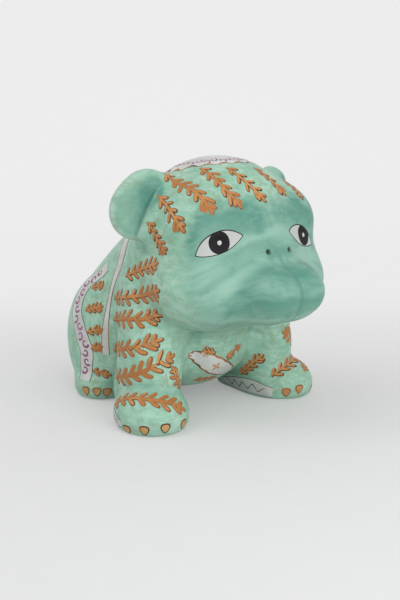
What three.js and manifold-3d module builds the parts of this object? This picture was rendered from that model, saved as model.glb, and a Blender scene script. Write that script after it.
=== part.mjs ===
// A hollow porcelain dog of bulldog type, crouched on four paws.
// The figure is a set of slip casts luted together: a body and a head that are open into each other
// at the neck, and solid ears, legs and a tail set on them. Millimetres, +Z up, the dog faces -Y.
// Its right side is -X. Sizes are half extents of the egg-shaped lumps that the modeller built up.

import * as THREE from 'three';
import { mergeVertices } from 'three/addons/utils/BufferGeometryUtils.js';
import Module from 'manifold-3d';

// Casting

const WALL = 5;
const LUTING_GAP = 0.3;
const POUR_HOLE_DIAMETER = 28;
const NOSTRIL_DIAMETER = 2.6;
const NOSTRIL_SPACING = 18;

// Body: the chest is measured back from the toes, the brisket is set forward of it, each lump behind it is
// set back from the one before, and all of them are measured up from the floor

const CHEST = { back: 70, up: 76, halfWidth: 50, halfLength: 54, halfHeight: 64 };
const BRISKET = { setForward: 17, up: 47, halfWidth: 47, halfLength: 37, halfHeight: 33, blend: 14 };
const BARREL = { setBack: 34, up: 54, halfWidth: 52, halfLength: 50, halfHeight: 58, blend: 20 };
const RUMP = { setBack: 16, up: 42, halfWidth: 50, halfLength: 42, halfHeight: 50, blend: 16 };

// Forelegs: set out from the chest's side

const SHOULDER = { inset: 6, back: 44, up: 74, halfWidth: 21, halfLength: 28, halfHeight: 54 };
const FORELEG = { outset: 4, back: 36, up: 36, halfWidth: 20, halfLength: 25, halfHeight: 46, blend: 10 };
const FOREPAW = { outset: 11, back: 27, up: 9, halfWidth: 24, halfLength: 27, halfHeight: 19, blend: 5 };
const ELBOW = { inset: 1, back: 54, up: 14, halfWidth: 11, halfLength: 27, halfHeight: 25, blend: 10 };
const PAW_SPLAY = 18;

// Hind legs and tail: set in from the rump's side and end, the legs forward of its centre

const HAUNCH = { inset: 10, setForward: 7, up: 40, halfWidth: 21, halfLength: 32, halfHeight: 46 };
const HIND_PAW = { inset: 7, setForward: 11, up: 8, halfWidth: 20, halfLength: 22, halfHeight: 15, blend: 6 };
const TAIL = { inset: 3, up: 62, halfWidth: 9, halfLength: 10, halfHeight: 15 };
const TAIL_TILT = 25;

// Head: features are set back from the skull's front and up from its centre

const SKULL = { back: 26, up: 116, halfWidth: 60, halfLength: 54, halfHeight: 60 };
const CROWN = { setBack: 56, rise: 22, halfWidth: 53, halfLength: 46, halfHeight: 37, blend: 8 };
const BROW = { side: 39, setBack: 32, rise: 17, halfWidth: 23, halfLength: 22, halfHeight: 22, blend: 18 };
const JOWL = { side: 33, setBack: 32, rise: -22, halfWidth: 35, halfLength: 35, halfHeight: 28, blend: 16 };
const FLEW = { side: 8, setBack: 0, rise: -23.5, halfWidth: 22, halfLength: 28, halfHeight: 19, blend: 12 };
const NOSE = { setBack: 16, rise: 1, halfWidth: 24, halfLength: 17, halfHeight: 14, blend: 14 };
const CHIN = { setBack: 12, rise: -34, halfWidth: 26, halfLength: 30, halfHeight: 11, blend: 8 };
const JOWL_SPLAY = 25;
const FLEW_SPLAY = 6;
const FLEW_LEAN_ANGLE = 6;

// Ears: set out from the skull's side, their roots set in it and the dish in each nearer to the head

const EAR = { outset: 5, setBack: 60, rise: 28, halfWidth: 18, halfLength: 8, halfHeight: 20 };
const EAR_ROOT = { inset: 4, setBack: 58, rise: 34, halfWidth: 18, halfLength: 9, halfHeight: 15, blend: 10 };
const EAR_DISH = { offset: 12, shift: 6, halfWidth: 34, halfLength: 9, halfHeight: 34, blend: 3 };
const EAR_SPLAY = 30;
const EAR_LEAN_ANGLE = 24;
const EAR_ROOT_LEAN_ANGLE = 35;

// Neck: the seam is a plane behind the jowls, and the head and body run into each other there

const NECK_SEAM = { setBack: 55, drop: 48 };
const NECK_TILT = 35;
const NECK_BLEND = 8;

// Mesh: how finely each cast is drawn, and how far it runs past the planes that trim it

const HEAD_DETAIL = 11;
const BODY_DETAIL = 9;
const CAVITY_DETAIL = 5;
const FORELEG_DETAIL = 8;
const HIND_LEG_DETAIL = 6;
const EAR_DETAIL = 8;
const TAIL_DETAIL = 4;
const HOLE_SIDES = 24;
const NOSTRIL_SIDES = 10;
const RAY_STEP = 2;
const RAY_HALVINGS = 18;
const OVERRUN = 14;

// Glaze colours

const BODY_GLAZE = '#9fd0b6';
const FACE_GLAZE = '#7dbda2';
const EAR_GLAZE = '#76b89d';
const GLAZE_ROUGHNESS = 0.35;

const wasm = await Module();
wasm.setup();

// Lumps and blends

function lump(size, side, back, up, { yaw = 0, lean = 0, tilt = 0 } = {}) {
  const turn = new THREE.Euler(
    THREE.MathUtils.degToRad(tilt),
    THREE.MathUtils.degToRad(lean),
    THREE.MathUtils.degToRad(yaw),
    'ZYX',
  );
  return {
    centre: new THREE.Vector3(side, back, up),
    half: new THREE.Vector3(size.halfWidth, size.halfLength, size.halfHeight),
    turn: new THREE.Quaternion().setFromEuler(turn),
  };
}

// About the distance from a lump's surface, negative inside it
function depth(point, { centre, half, turn }) {
  const local = point.clone().sub(centre).applyQuaternion(turn.clone().invert());
  const near = local.divide(half).length();
  const slope = local.divide(half).length();
  return (near * (near - 1)) / Math.max(slope, 1e-9);
}

// The nearer of two surfaces, filled with a fillet where they meet
function blend(a, b, width) {
  const overlap = Math.max(width - Math.abs(a - b), 0) / width;
  return Math.min(a, b) - (overlap * overlap * width) / 4;
}

function carve(a, b, width) {
  return -blend(-a, b, width);
}

// The dog is alike on both sides, so its forms are measured on the right side only
function rightSide(point) {
  return new THREE.Vector3(-Math.abs(point.x), point.y, point.z);
}

// Forms

const onLine = (size, back) => lump(size, 0, back, size.up);
const faceBack = (size) => SKULL.back - SKULL.halfLength + size.setBack;
const onFace = (size, side, turn) => lump(size, -side, faceBack(size), SKULL.up + size.rise, turn);

const brisketBack = CHEST.back - BRISKET.setForward;
const barrelBack = CHEST.back + BARREL.setBack;
const rumpBack = barrelBack + RUMP.setBack;
const chest = onLine(CHEST, CHEST.back);
const brisket = onLine(BRISKET, brisketBack);
const barrel = onLine(BARREL, barrelBack);
const rump = onLine(RUMP, rumpBack);

const skull = onLine(SKULL, SKULL.back);
const crown = onFace(CROWN, 0);
const brow = onFace(BROW, BROW.side);
const jowl = onFace(JOWL, JOWL.side, { yaw: -JOWL_SPLAY });
const flew = onFace(FLEW, FLEW.side, { yaw: -FLEW_SPLAY, lean: FLEW_LEAN_ANGLE });
const nose = onFace(NOSE, 0);
const chin = onFace(CHIN, 0);

const legSide = (size) => CHEST.halfWidth + (size.outset ?? -size.inset);
const shoulder = lump(SHOULDER, -legSide(SHOULDER), SHOULDER.back, SHOULDER.up);
const foreleg = lump(FORELEG, -legSide(FORELEG), FORELEG.back, FORELEG.up);
const forepaw = lump(FOREPAW, -legSide(FOREPAW), FOREPAW.back, FOREPAW.up, { yaw: -PAW_SPLAY });
const elbow = lump(ELBOW, -legSide(ELBOW), ELBOW.back, ELBOW.up);

const haunchSide = (size) => RUMP.halfWidth - size.inset;
const hindBack = (size) => rumpBack - size.setForward;
const haunch = lump(HAUNCH, -haunchSide(HAUNCH), hindBack(HAUNCH), HAUNCH.up);
const hindPaw = lump(HIND_PAW, -haunchSide(HIND_PAW), hindBack(HIND_PAW), HIND_PAW.up, { yaw: -PAW_SPLAY });
const tailBack = rumpBack + RUMP.halfLength - TAIL.inset;
const tail = lump(TAIL, 0, tailBack, TAIL.up, { tilt: TAIL_TILT });

const earTurn = { yaw: -EAR_SPLAY, lean: EAR_LEAN_ANGLE };
const ear = onFace(EAR, SKULL.halfWidth + EAR.outset, earTurn);
const rootTurn = { yaw: -EAR_SPLAY, lean: EAR_ROOT_LEAN_ANGLE };
const earRoot = onFace(EAR_ROOT, SKULL.halfWidth - EAR_ROOT.inset, rootTurn);
const earDish = onFace({ ...EAR, ...EAR_DISH }, SKULL.halfWidth + EAR.outset, earTurn);
earDish.centre.add(new THREE.Vector3(EAR_DISH.shift, -EAR_DISH.offset, 0).applyQuaternion(ear.turn));

function torsoForm(p) {
  let f = depth(p, chest);
  f = blend(f, depth(p, brisket), BRISKET.blend);
  f = blend(f, depth(p, barrel), BARREL.blend);
  return blend(f, depth(p, rump), RUMP.blend);
}

function headForm(p) {
  let f = depth(p, skull);
  f = blend(f, depth(p, crown), CROWN.blend);
  f = blend(f, depth(p, brow), BROW.blend);
  f = blend(f, depth(p, jowl), JOWL.blend);
  f = blend(f, depth(p, flew), FLEW.blend);
  f = blend(f, depth(p, nose), NOSE.blend);
  return blend(f, depth(p, chin), CHIN.blend);
}

function coreForm(point) {
  const p = rightSide(point);
  return blend(torsoForm(p), headForm(p), NECK_BLEND);
}

function forelegForm(point) {
  const p = rightSide(point);
  let f = depth(p, shoulder);
  f = blend(f, depth(p, foreleg), FORELEG.blend);
  f = blend(f, depth(p, forepaw), FOREPAW.blend);
  return blend(f, depth(p, elbow), ELBOW.blend);
}

function hindLegForm(point) {
  const p = rightSide(point);
  return blend(depth(p, haunch), depth(p, hindPaw), HIND_PAW.blend);
}

function earForm(point) {
  const p = rightSide(point);
  const flap = blend(depth(p, ear), depth(p, earRoot), EAR_ROOT.blend);
  return carve(flap, depth(p, earDish), EAR_DISH.blend);
}

const tailForm = (point) => depth(point, tail);

// The neck seam, positive on the head's side

const seamPoint = new THREE.Vector3(
  0,
  faceBack(NECK_SEAM),
  SKULL.up - NECK_SEAM.drop,
);
const seamTurn = new THREE.Quaternion().setFromAxisAngle(
  new THREE.Vector3(1, 0, 0),
  THREE.MathUtils.degToRad(90 - NECK_TILT),
);
const seamNormal = new THREE.Vector3(0, 0, 1).applyQuaternion(seamTurn);
const seam = (p) => p.clone().sub(seamPoint).dot(seamNormal);

// Solids

const solid = (geometry) => {
  geometry.deleteAttribute('normal');
  geometry.deleteAttribute('uv');
  const merged = mergeVertices(geometry);
  return new wasm.Manifold(new wasm.Mesh({
    numProp: 3,
    vertProperties: new Float32Array(merged.attributes.position.array),
    triVerts: new Uint32Array(merged.index.array),
  }));
};

// How far a ray runs from the centre before it leaves the form
function reach(form, centre, direction) {
  const at = (distance) => centre.clone().addScaledVector(direction, distance);
  let far = RAY_STEP;
  while (form(at(far)) < 0) {
    far += RAY_STEP;
  }
  let near = far - RAY_STEP;
  for (let i = 0; i < RAY_HALVINGS; i += 1) {
    const middle = (near + far) / 2;
    if (form(at(middle)) < 0) {
      near = middle;
    } else {
      far = middle;
    }
  }
  return near;
}

// A ball pushed out from its centre until it fills the form. It is turned so that a row of its
// corners lies on the dog's middle plane at the front, where the crease between the flews runs.
function cast(form, centre, detail) {
  const ball = new THREE.IcosahedronGeometry(1, detail);
  ball.rotateY(Math.PI / 2);
  ball.deleteAttribute('normal');
  ball.deleteAttribute('uv');
  const skin = mergeVertices(ball);
  const position = skin.attributes.position;
  const direction = new THREE.Vector3();
  for (let i = 0; i < position.count; i += 1) {
    direction.fromBufferAttribute(position, i).normalize();
    const point = centre.clone().addScaledVector(direction, reach(form, centre, direction));
    position.setXYZ(i, point.x, point.y, point.z);
  }
  return solid(skin);
}

// A block with one face on a plane, filling what lies in front of that face
const BLOCK = 4 * (CHEST.halfHeight + SKULL.halfHeight);
function block(point, turn) {
  const geometry = new THREE.BoxGeometry(BLOCK, BLOCK, BLOCK);
  geometry.translate(0, 0, BLOCK / 2);
  geometry.applyQuaternion(turn);
  geometry.translate(point.x, point.y, point.z);
  return solid(geometry);
}

const downward = new THREE.Quaternion().setFromAxisAngle(new THREE.Vector3(1, 0, 0), Math.PI);
const belowFloor = block(new THREE.Vector3(), downward);
const seamShift = (distance) => seamPoint.clone().addScaledVector(seamNormal, distance);
const headSide = block(seamShift(-LUTING_GAP / 2), seamTurn);
const bodySide = block(seamShift(LUTING_GAP / 2), seamTurn.clone().multiply(downward));

// Past the seam, and below the floor, a cast keeps the section that it has there until it is trimmed

const headCentre = skull.centre;
const bodyCentre = barrel.centre;

function headPart(level) {
  return (p) => {
    const past = Math.max(-seam(p), 0);
    const section = p.clone().addScaledVector(seamNormal, past);
    return Math.max(coreForm(section) - level, past - OVERRUN);
  };
}

function bodyPart(level, bottom) {
  return (p) => {
    const past = Math.max(seam(p), 0);
    const section = p.clone().addScaledVector(seamNormal, -past);
    section.z = Math.max(section.z, 0);
    return Math.max(coreForm(section) - level, past - OVERRUN, bottom - p.z);
  };
}

const hole = (diameter, sides, length) =>
  new THREE.CylinderGeometry(diameter / 2, diameter / 2, length, sides);

function headShell() {
  const outer = cast(headPart(0), headCentre, HEAD_DETAIL);
  const cavity = cast(headPart(-WALL), headCentre, CAVITY_DETAIL);
  let shell = outer.subtract(bodySide).subtract(cavity);
  for (const side of [-1, 1]) {
    const vent = hole(NOSTRIL_DIAMETER, NOSTRIL_SIDES, 2 * NOSE.halfLength);
    vent.translate((side * NOSTRIL_SPACING) / 2, nose.centre.y - NOSE.halfLength, nose.centre.z);
    shell = shell.subtract(solid(vent));
  }
  return shell;
}

function torsoShell() {
  const outer = cast(bodyPart(0, -OVERRUN), bodyCentre, BODY_DETAIL);
  const cavity = cast(bodyPart(-WALL, WALL), bodyCentre, CAVITY_DETAIL);
  const pourHole = hole(POUR_HOLE_DIAMETER, HOLE_SIDES, 4 * WALL);
  pourHole.rotateX(Math.PI / 2);
  pourHole.translate(0, rump.centre.y, 0);
  return outer.subtract(headSide).subtract(belowFloor).subtract(cavity).subtract(solid(pourHole));
}

// What is luted on is cut to seat on the head and body with the luting gap between them
const headSeat = cast(headPart(LUTING_GAP), headCentre, HEAD_DETAIL);
const bodySeat = cast(bodyPart(LUTING_GAP, -OVERRUN), bodyCentre, BODY_DETAIL);
const seated = (piece) => piece.subtract(headSeat).subtract(bodySeat).subtract(belowFloor);

const onSide = (point, side) => new THREE.Vector3(-side * point.x, point.y, point.z);
const grown = (form, level) => (p) => form(p) - level;

function forelegSolid(side, level = 0) {
  return cast(grown(forelegForm, level), onSide(foreleg.centre, side), FORELEG_DETAIL);
}

function hindLegSolid(side) {
  const leg = cast(hindLegForm, onSide(haunch.centre, side), HIND_LEG_DETAIL);
  return leg.subtract(forelegSolid(side, LUTING_GAP));
}

const earSolid = (side) => cast(earForm, onSide(ear.centre, side), EAR_DETAIL);
const tailSolid = () => cast(tailForm, tail.centre, TAIL_DETAIL);

// Named pieces

const figure = new THREE.Group();

function addPiece(name, piece, colour) {
  const { vertProperties, triVerts } = piece.getMesh();
  const geometry = new THREE.BufferGeometry();
  geometry.setAttribute('position', new THREE.BufferAttribute(new Float32Array(vertProperties), 3));
  geometry.setIndex(new THREE.BufferAttribute(new Uint32Array(triVerts), 1));
  geometry.computeVertexNormals();
  const material = new THREE.MeshStandardMaterial({
    color: colour,
    roughness: GLAZE_ROUGHNESS,
    metalness: 0,
  });
  const mesh = new THREE.Mesh(geometry, material);
  mesh.name = name;
  figure.add(mesh);
}

addPiece('torso_shell', torsoShell(), BODY_GLAZE);
addPiece('head_shell', headShell(), FACE_GLAZE);
for (const [hand, side] of [['right', -1], ['left', 1]]) {
  addPiece(`${hand}_ear`, seated(earSolid(side)), EAR_GLAZE);
  addPiece(`${hand}_foreleg`, seated(forelegSolid(side)), BODY_GLAZE);
  addPiece(`${hand}_hind_leg`, seated(hindLegSolid(side)), BODY_GLAZE);
}
addPiece('tail_stub', seated(tailSolid()), BODY_GLAZE);

// The origin is on the floor, at the middle of the figure's width and length
const extent = new THREE.Box3().setFromObject(figure);
const middle = extent.getCenter(new THREE.Vector3());
figure.position.set(-middle.x, -middle.y, -extent.min.z);

const dog = new THREE.Group();
dog.add(figure);

export default dog;
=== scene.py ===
"""A hollow porcelain dog of bulldog type, glazed green and painted with enamel leaf sprays.

The dog is one smooth form, a set of egg-shaped lumps run into each other. Its skin is found as the
zero level of that form, parted into the casts that the real dog is luted from, and closed. Enamel
is laid on the skin as thin raised pads. Lengths are millimetres in the sculptor's frame, where the
toe line is at Y 0, the floor at Z 0, the dog faces -Y and its right side is -X. The last step of
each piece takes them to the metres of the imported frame.
"""

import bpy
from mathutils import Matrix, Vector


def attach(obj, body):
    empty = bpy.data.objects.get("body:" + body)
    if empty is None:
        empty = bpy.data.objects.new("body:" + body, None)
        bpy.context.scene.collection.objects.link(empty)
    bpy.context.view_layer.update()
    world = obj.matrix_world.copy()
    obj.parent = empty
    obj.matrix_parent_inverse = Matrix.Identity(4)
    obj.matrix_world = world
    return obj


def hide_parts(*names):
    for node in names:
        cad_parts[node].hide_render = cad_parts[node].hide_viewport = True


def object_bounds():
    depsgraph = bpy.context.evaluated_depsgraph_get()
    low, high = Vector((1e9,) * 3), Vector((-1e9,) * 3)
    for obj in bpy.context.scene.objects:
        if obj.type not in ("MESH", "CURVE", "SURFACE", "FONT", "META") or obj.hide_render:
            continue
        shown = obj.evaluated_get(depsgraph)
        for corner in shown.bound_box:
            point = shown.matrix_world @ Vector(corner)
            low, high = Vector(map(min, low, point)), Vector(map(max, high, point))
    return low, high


bl_info = {
    "name": "Porcelain dog figurine",
    "version": (1, 0, 0),
    "blender": (4, 5, 0),
    "location": "View3D > Sidebar > Dog",
    "description": "Glazed and painted porcelain dog on its CAD frame, with a plain studio",
    "category": "Add Mesh",
}

import functools
import math

import bpy
import numpy as np
from bpy.props import FloatProperty, FloatVectorProperty, PointerProperty
from mathutils import Vector

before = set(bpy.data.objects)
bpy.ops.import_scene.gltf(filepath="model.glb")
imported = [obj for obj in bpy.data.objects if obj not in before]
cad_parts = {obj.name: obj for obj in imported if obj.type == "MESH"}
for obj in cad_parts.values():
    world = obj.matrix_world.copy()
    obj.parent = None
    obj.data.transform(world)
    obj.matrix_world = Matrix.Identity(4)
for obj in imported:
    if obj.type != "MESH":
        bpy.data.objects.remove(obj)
CAD_BOX = [list(corner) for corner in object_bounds()]

MM = 0.001
BOX_MARGIN = 0.3

# The photograph's camera, in the sculptor's frame

PHOTO_SIZE = (400, 600)
SENSOR = 36.0
VIEW_TARGET = (0.0, 45.0, 75.0)
RAY_SPAN = 260.0
RAY_STEP = 1.0

# Fillets where head, then foreleg, hind leg, ear and tail, meet the body, and rounded edges

NECK_FILLET = 8
LIMB_FILLETS = (10, 10, 10, 6)
FOOT_ROUND = 1.6
NOSTRIL_ROUND = 1.0
EAR_FACE_ROUND = 3

# Openings in the casts. The skin is left out at the pour hole's roof, up to the clip above and below.

POUR_HOLE_RADIUS = 14
POUR_HOLE_BACK = 120
POUR_HOLE_DEPTH = 12
POUR_HOLE_LIP = 0.5
POUR_HOLE_CLIP = 3
NOSTRIL = (-9.6, -32, 117.8)
NOSTRIL_PIT_RADIUS = 1.5

# Neck seam: a plane behind the jowls

SEAM_POINT = np.array((0, 27, 68.0))
SEAM_TILT = math.radians(35)
SEAM_NORMAL = np.array((0, -math.cos(SEAM_TILT), math.sin(SEAM_TILT)))

# How the form is sampled. The nudge keeps the plane between right and left off the grid's points.

SLOPE_STEP = 0.15
BEND_STEP = 1.5
FIELD_LOW = (-90, -58, -4)
FIELD_HIGH = (90, 176, 182)
SIDE_NUDGE = 1e-4


def turned(yaw=0, lean=0, tilt=0):
    """Rotation matrix: tilt about X, then lean about Y, then yaw about Z, in degrees."""
    yaw, lean, tilt = np.radians((yaw, lean, tilt))
    about_z = np.array([[np.cos(yaw), -np.sin(yaw), 0], [np.sin(yaw), np.cos(yaw), 0], [0, 0, 1]])
    about_y = np.array([[np.cos(lean), 0, np.sin(lean)], [0, 1, 0], [-np.sin(lean), 0, np.cos(lean)]])
    about_x = np.array([[1, 0, 0], [0, np.cos(tilt), -np.sin(tilt)], [0, np.sin(tilt), np.cos(tilt)]])
    return about_z @ about_y @ about_x


def lump(centre, half, yaw=0, lean=0, tilt=0):
    """A function giving about how far rows of points lie outside an egg-shaped lump.

    With q the point in the lump's own axes, k0 = |q / half| and k1 = |q / half squared|, the
    distance is about k0 (k0 - 1) / k1, negative inside.
    """
    centre = np.array(centre, float)
    half = np.array(half, float)
    axes = turned(yaw, lean, tilt)

    def depth(points):
        scaled = (points - centre) @ axes / half
        near = np.sqrt((scaled * scaled).sum(1))
        scaled /= half
        slope = np.sqrt((scaled * scaled).sum(1))
        return near * (near - 1) / np.maximum(slope, 1e-9)

    return depth


def blend(a, b, width):
    """The lesser of two depths, filled with a fillet of that width where they are near."""
    overlap = np.maximum(width - np.abs(a - b), 0) / width
    return np.minimum(a, b) - overlap * overlap * width / 4


def carve(a, b, width):
    """Depth a with b cut out of it, the edge rounded."""
    return -blend(-a, b, width)


# Lumps of the body and legs, right side

CHEST = lump((0, 70, 76), (50, 54, 64))
BRISKET = lump((0, 53, 47), (47, 37, 33))
BARREL = lump((0, 104, 54), (52, 50, 58))
RUMP = lump((0, 120, 42), (50, 42, 50))
SHOULDER = lump((-44, 44, 74), (21, 28, 54))
FORELEG = lump((-54, 36, 36), (20, 25, 46))
FOREPAW = lump((-60, 26, 9), (25, 28.5, 19.5), yaw=-18)
ELBOW = lump((-49, 54, 14), (11, 27, 25))
HAUNCH = lump((-40, 113, 40), (21, 32, 46))
HIND_PAW = lump((-43, 109, 8), (20, 22, 15), yaw=-18)
TAIL = lump((0, 159, 62), (9, 10, 15), tilt=25)

# Lumps of the head, right side

SKULL = lump((0, 26, 116), (60, 54, 60))
CROWN = lump((0, 28, 138), (53, 46, 37))
BROW = lump((-39, 4, 133), (23, 22, 22))
JOWL = lump((-33, 4, 94), (35, 35, 28), yaw=-25)
FLEW = lump((-10, -27.5, 91), (23, 28.5, 20), yaw=-6, lean=6)
NOSE = lump((0, -12, 117), (24, 17, 14))
CHIN = lump((0, -16, 82), (26, 30, 11))
NOSTRIL_PIT = lump(NOSTRIL, (NOSTRIL_PIT_RADIUS,) * 3)
EAR_CENTRE = np.array((-65, 32, 144.0))
EAR_POSE = {"yaw": -30, "lean": 24}
EAR_AXES = turned(**EAR_POSE)
EAR = lump(EAR_CENTRE, (18, 8, 20), **EAR_POSE)
EAR_ROOT = lump((-54, 31, 153.5), (17, 9, 15), yaw=-30, lean=35)
EAR_DISH = lump(EAR_CENTRE + EAR_AXES @ (6, -12.2, -2.5), (30, 9, 27), **EAR_POSE)
EAR_FACE_EDGE = 5

# Each cast's lumps in turn, with the width of the fillet that runs each into those before it

BODY_LUMPS = (CHEST, (BRISKET, 14), (BARREL, 20), (RUMP, 16))
HEAD_LUMPS = (SKULL, (CROWN, 8), (BROW, 18), (JOWL, 16), (FLEW, 12), (NOSE, 14), (CHIN, 8))
FORELEG_LUMPS = (SHOULDER, (FORELEG, 10), (FOREPAW, 5), (ELBOW, 10))
HIND_LEG_LUMPS = (HAUNCH, (HIND_PAW, 6))
EAR_LUMPS = (EAR, (EAR_ROOT, 10))
CAST_NAMES = ("core", "foreleg", "hind_leg", "ear", "tail")

# Where the glaze is laid in another green or thicker, and where painted shade darkens the ear's inner
# corner and the nostril pits: a lump, and the width that it fades out over

FACE_WASH = lump((0, -36, 103), (70, 62, 49))
FACE_WASH_FADE = 2.5
EAR_WASH_SPARE = 0.5
EAR_WASH_FADE = 1.0
WASHES = {
    # Painted shade: deep teal in the ear's inner corner beside the head
    "ear_hollow": (lump(EAR_CENTRE + EAR_AXES @ (4, -4, 13), (7, 9, 9), **EAR_POSE), 3.0),
    "brow_wash": (lump((-34, -22, 141), (26, 16, 9)), 5.0),
    "muzzle_wash": (lump((-12, -46, 99), (30, 20, 12)), 5.0),
    # Painted shade: black in the nostril pits, standing in for the dark of the vent holes
    "nostril": (lump(NOSTRIL, (1.2, 5, 1.2)), 0.5),
}

# Brush strokes of the face, and dark bands of painted shade beside the muzzle: pixels of the photograph
# that each runs through, and its half width

STROKES = {
    "dark_strokes": (
        (((192, 254), (190, 243), (198, 229), (214, 220), (240, 216)), 4.2),
        # Painted shade in the valley between the near cheek and the flew
        (((270, 269), (256, 281), (240, 295), (230, 311)), 4.5),
        # Painted shade under the top of the muzzle, below the nostrils
        (((274, 273), (288, 275), (298, 274)), 3.2),
    ),
    "light_strokes": (
        (((262, 261), (244, 273), (228, 285), (216, 301)), 4.0),
        (((246, 262), (226, 268), (206, 281), (196, 295)), 3.4),
        (((204, 318), (222, 322), (246, 318)), 3.5),
    ),
}
PAINTED_VALUES = (*WASHES, "face_wash", "ear_wash", *STROKES, "bend")


def right_side(points):
    """The same points folded onto the dog's right side."""
    return np.column_stack((-np.abs(points[:, 0]), points[:, 1:]))


def run_together(lumps, points):
    """Depth of a cast at rows of points: its lumps, each run into those before it."""
    first, *others = lumps
    depth = first(points)
    for shape, fillet in others:
        depth = blend(depth, shape(points), fillet)
    return depth


def ear_face(p):
    """Depth of the flat face cut in the right ear, which ends in a crease beside the head."""
    inward = (p - EAR_CENTRE) @ EAR_AXES[:, 0] - EAR_FACE_EDGE
    return np.maximum(EAR_DISH(p), inward)


def casts(points):
    """Depths of the casts at rows of points: head with body, foreleg, hind leg, ear and tail."""
    p = right_side(points)
    core = blend(run_together(BODY_LUMPS, p), run_together(HEAD_LUMPS, p), NECK_FILLET)
    ear = carve(run_together(EAR_LUMPS, p), ear_face(p), EAR_FACE_ROUND)
    return core, run_together(FORELEG_LUMPS, p), run_together(HIND_LEG_LUMPS, p), ear, TAIL(p)


def joined(core, *limbs):
    """The casts run into each other with their fillets."""
    form = core
    for limb, fillet in zip(limbs, LIMB_FILLETS):
        form = blend(form, limb, fillet)
    return form


def dog(points):
    """Depth of the whole dog: the joined casts, with nostril pits, pour hole and a flat foot."""
    form = joined(*casts(points))
    form = carve(form, NOSTRIL_PIT(right_side(points)), NOSTRIL_ROUND)
    across = np.hypot(points[:, 0], points[:, 1] - POUR_HOLE_BACK)
    pour_hole = np.maximum(across - POUR_HOLE_RADIUS, points[:, 2] - POUR_HOLE_DEPTH)
    form = carve(form, pour_hole, FOOT_ROUND)
    return -blend(-form, points[:, 2], FOOT_ROUND)


CORNERS = np.array(((1, -1, -1), (-1, -1, 1), (-1, 1, -1), (1, 1, 1.0)))


def slope(points):
    """Depth and gradient at rows of points, from four samples at the corners of a tetrahedron."""
    depths = [dog(points + SLOPE_STEP * corner) for corner in CORNERS]
    gradient = sum(d[:, None] * corner for d, corner in zip(depths, CORNERS)) / (4 * SLOPE_STEP)
    return sum(depths) / 4, gradient


def settle(points, rounds=4):
    """Points moved down the gradient onto the skin by that many Newton steps."""
    for _ in range(rounds):
        depth, gradient = slope(points)
        points = points - (depth / np.maximum((gradient**2).sum(1), 1e-6))[:, None] * gradient
    return points


def outward(points):
    """Unit normals of the skin at rows of points."""
    gradient = slope(points)[1]
    return gradient / np.linalg.norm(gradient, axis=1)[:, None]


def view_axes(azimuth, elevation):
    """Right, up and ahead directions of a camera at that azimuth and elevation, in radians."""
    back = np.array((
        math.sin(azimuth) * math.cos(elevation),
        -math.cos(azimuth) * math.cos(elevation),
        math.sin(elevation),
    ))
    right = np.cross(-back, (0, 0, 1))
    right /= np.linalg.norm(right)
    return right, np.cross(right, -back), -back


def seen(pixels):
    """Skin points at pixels of the photograph: where the camera's rays first meet or pass nearest it."""
    props = bpy.context.scene.dog_stage
    right, up, ahead = view_axes(props.azimuth, props.elevation)
    focal = props.lens / SENSOR * max(PHOTO_SIZE)
    offset = (np.array(pixels, float) - np.array(PHOTO_SIZE) / 2) / focal
    rays = ahead + offset[:, :1] * right - offset[:, 1:] * up
    eye = np.array(VIEW_TARGET) - props.distance * ahead
    reach = props.distance + np.arange(-RAY_SPAN, RAY_SPAN, RAY_STEP)
    track = eye + rays[:, None] * reach[None, :, None]
    depth = dog(track.reshape(-1, 3)).reshape(len(rays), -1)
    inside = depth < 0
    first = np.where(inside.any(1), inside.argmax(1), depth.argmin(1))
    return settle(track[np.arange(len(rays)), first])


# Skin


def net(step):
    """Quads around the zero level: a point in each grid cell it passes, joined across grid edges."""
    axes = [np.arange(low, high + step, step) for low, high in zip(FIELD_LOW, FIELD_HIGH)]
    grid = np.stack(np.meshgrid(*axes, indexing="ij"), -1)
    shape = np.array(grid.shape[:3])
    inside = (dog(grid.reshape(-1, 3)) < 0).reshape(shape)
    full = np.zeros(shape - 1, int)
    for corner in np.ndindex(2, 2, 2):
        full += inside[tuple(slice(c, c + n - 1) for c, n in zip(corner, shape))]
    crossed = (full > 0) & (full < 8)
    index = np.full(crossed.shape, -1)
    index[crossed] = np.arange(crossed.sum())
    points = np.array(FIELD_LOW) + step * (np.argwhere(crossed) + 0.5)
    quads = []
    for axis in range(3):
        turned_in = np.moveaxis(inside, axis, 0)
        cells = np.moveaxis(index, axis, 0)
        edge = turned_in[:-1, 1:-1, 1:-1] != turned_in[1:, 1:-1, 1:-1]
        i, j, k = np.nonzero(edge)
        ring = np.stack([cells[i, j + a, k + b] for a, b in ((0, 0), (1, 0), (1, 1), (0, 1))], 1)
        leaves = turned_in[:-1, 1:-1, 1:-1][i, j, k]
        flip = leaves if axis != 1 else ~leaves
        ring[~flip] = ring[~flip][:, ::-1]
        quads.append(ring)
    return points, np.concatenate(quads)


def edges_of(faces):
    """Each edge once, as sorted pairs, and for each face the numbers of its edges."""
    ends = np.stack((faces, np.roll(faces, -1, 1)), 2).reshape(-1, 2)
    pairs, number = np.unique(np.sort(ends, 1), axis=0, return_inverse=True)
    return pairs, number.reshape(faces.shape)


def relax(points, quads, rounds):
    """Each point drawn to the mean of its neighbours and settled again, to even out the net."""
    pairs = edges_of(quads)[0]
    count = np.bincount(pairs.ravel(), minlength=len(points))
    for _ in range(rounds):
        total = np.zeros_like(points)
        np.add.at(total, pairs[:, 0], points[pairs[:, 1]])
        np.add.at(total, pairs[:, 1], points[pairs[:, 0]])
        points = settle((points + total / count[:, None]) / 2, rounds=1)
    return points


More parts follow.
